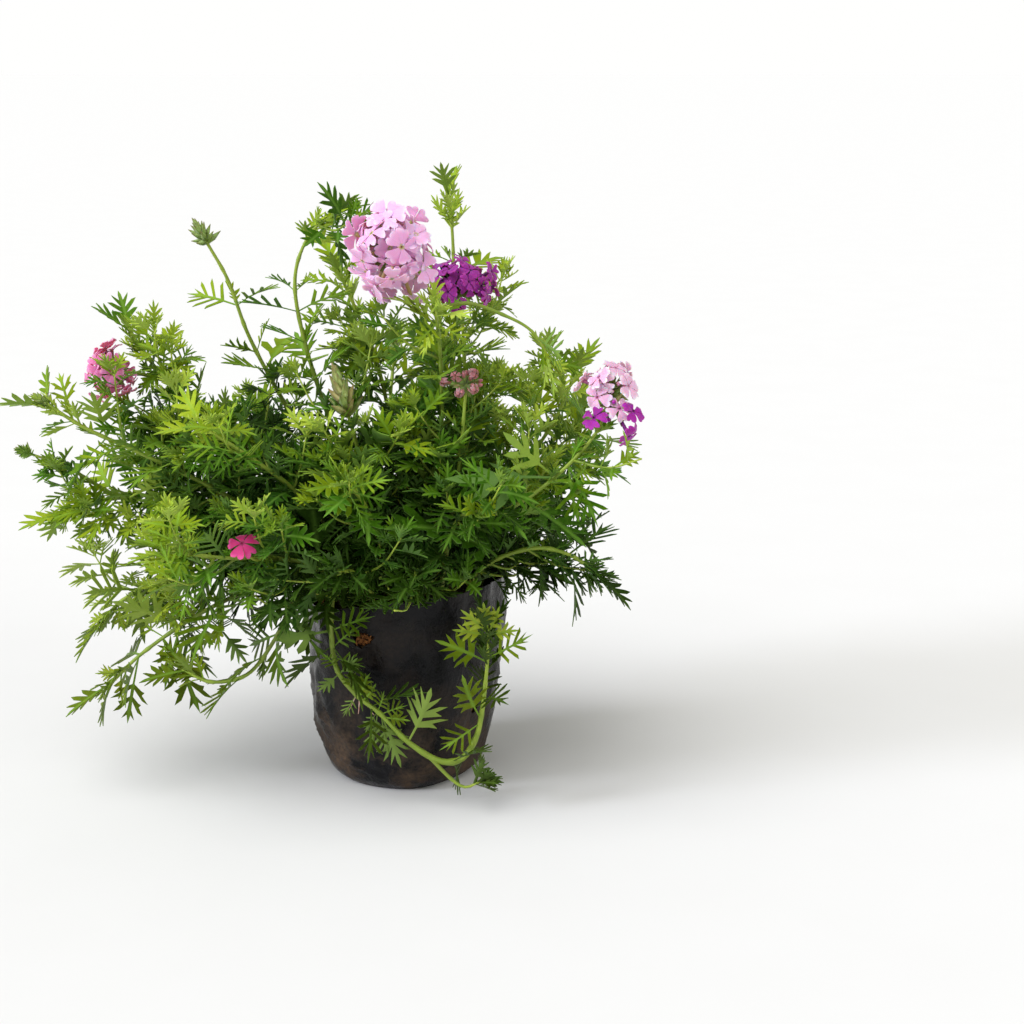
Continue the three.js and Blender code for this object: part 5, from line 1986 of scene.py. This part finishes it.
class StageSettings(bpy.types.PropertyGroup):
    """The studio round the plant"""

    floor: colour_setting("Floor", "Colour of the studio floor", "#e4e4e4")
    backdrop: colour_setting("Backdrop", "Colour of the background", "#fffffe")
    ambient: number_setting("Ambient", "Strength of the light all round", 0.5)
    overhead: number_setting("Overhead", "Strength of the light overhead", 2.01)
    side: number_setting("Side", "Strength of the light from +X", 0.4)
    window: number_setting("Window", "Strength of the light from -X", 2)
    elevation: number_setting("Elevation", "Degrees the camera looks down by", 14)
    distance: length_setting("Distance", "How far the camera stands off", 0.9)
    view_width: length_setting("View width", "Width of the view at the plant", 0.512)


class VERBENA_OT_grow_bag(bpy.types.Operator):
    """Build the black nursery bag with its drain holes"""

    bl_idname = "verbena.grow_bag"
    bl_label = "Grow Bag"

    def execute(self, context):
        make_bag(context.scene.verbena_bag)
        return {"FINISHED"}


class VERBENA_OT_potting_mix(bpy.types.Operator):
    """Build the domed potting mix that fills the bag"""

    bl_idname = "verbena.potting_mix"
    bl_label = "Potting Mix"

    def execute(self, context):
        make_potting_mix(context.scene.verbena_bag)
        return {"FINISHED"}


class VERBENA_OT_leafy_stems(bpy.types.Operator):
    """Grow every stem with its leaves, side shoots and buds"""

    bl_idname = "verbena.leafy_stems"
    bl_label = "Leafy Stems"

    def execute(self, context):
        make_leafy_stems(context.scene.verbena_plant)
        return {"FINISHED"}


class VERBENA_OT_flower_heads(bpy.types.Operator):
    """Build the flower heads"""

    bl_idname = "verbena.flower_heads"
    bl_label = "Flower Heads"

    def execute(self, context):
        make_flower_heads(context.scene.verbena_blooms, context.scene.verbena_plant)
        return {"FINISHED"}


class VERBENA_OT_stage(bpy.types.Operator):
    """Set the floor, the lamps and the camera"""

    bl_idname = "verbena.stage"
    bl_label = "Stage"

    def execute(self, context):
        make_stage(context.scene.verbena_stage)
        return {"FINISHED"}


OPERATORS = (
    VERBENA_OT_stage,
    VERBENA_OT_grow_bag,
    VERBENA_OT_potting_mix,
    VERBENA_OT_leafy_stems,
    VERBENA_OT_flower_heads,
)
SETTINGS = dict(
    verbena_bag=BagSettings,
    verbena_plant=PlantSettings,
    verbena_blooms=BloomSettings,
    verbena_stage=StageSettings,
)


class VERBENA_PT_panel(bpy.types.Panel):
    """The sizes and colours of the plant, and what builds it"""

    bl_label = "Potted Verbena"
    bl_space_type = "VIEW_3D"
    bl_region_type = "UI"
    bl_category = "Verbena"

    def draw(self, context):
        for group, kind in SETTINGS.items():
            column = self.layout.column()
            for name in kind.__annotations__:
                column.prop(getattr(context.scene, group), name)
        for operator in OPERATORS:
            self.layout.operator(operator.bl_idname)


def register():
    for kind in (*SETTINGS.values(), *OPERATORS, VERBENA_PT_panel):
        bpy.utils.register_class(kind)
    for group, kind in SETTINGS.items():
        setattr(bpy.types.Scene, group, bpy.props.PointerProperty(type=kind))


def unregister():
    for group in SETTINGS:
        delattr(bpy.types.Scene, group)
    for kind in (VERBENA_PT_panel, *OPERATORS, *SETTINGS.values()):
        bpy.utils.unregister_class(kind)


def main():
    register()
    for operator in OPERATORS:
        getattr(bpy.ops.verbena, operator.bl_idname.split(".")[1])()
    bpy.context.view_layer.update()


if __name__ == "__main__":
    main()
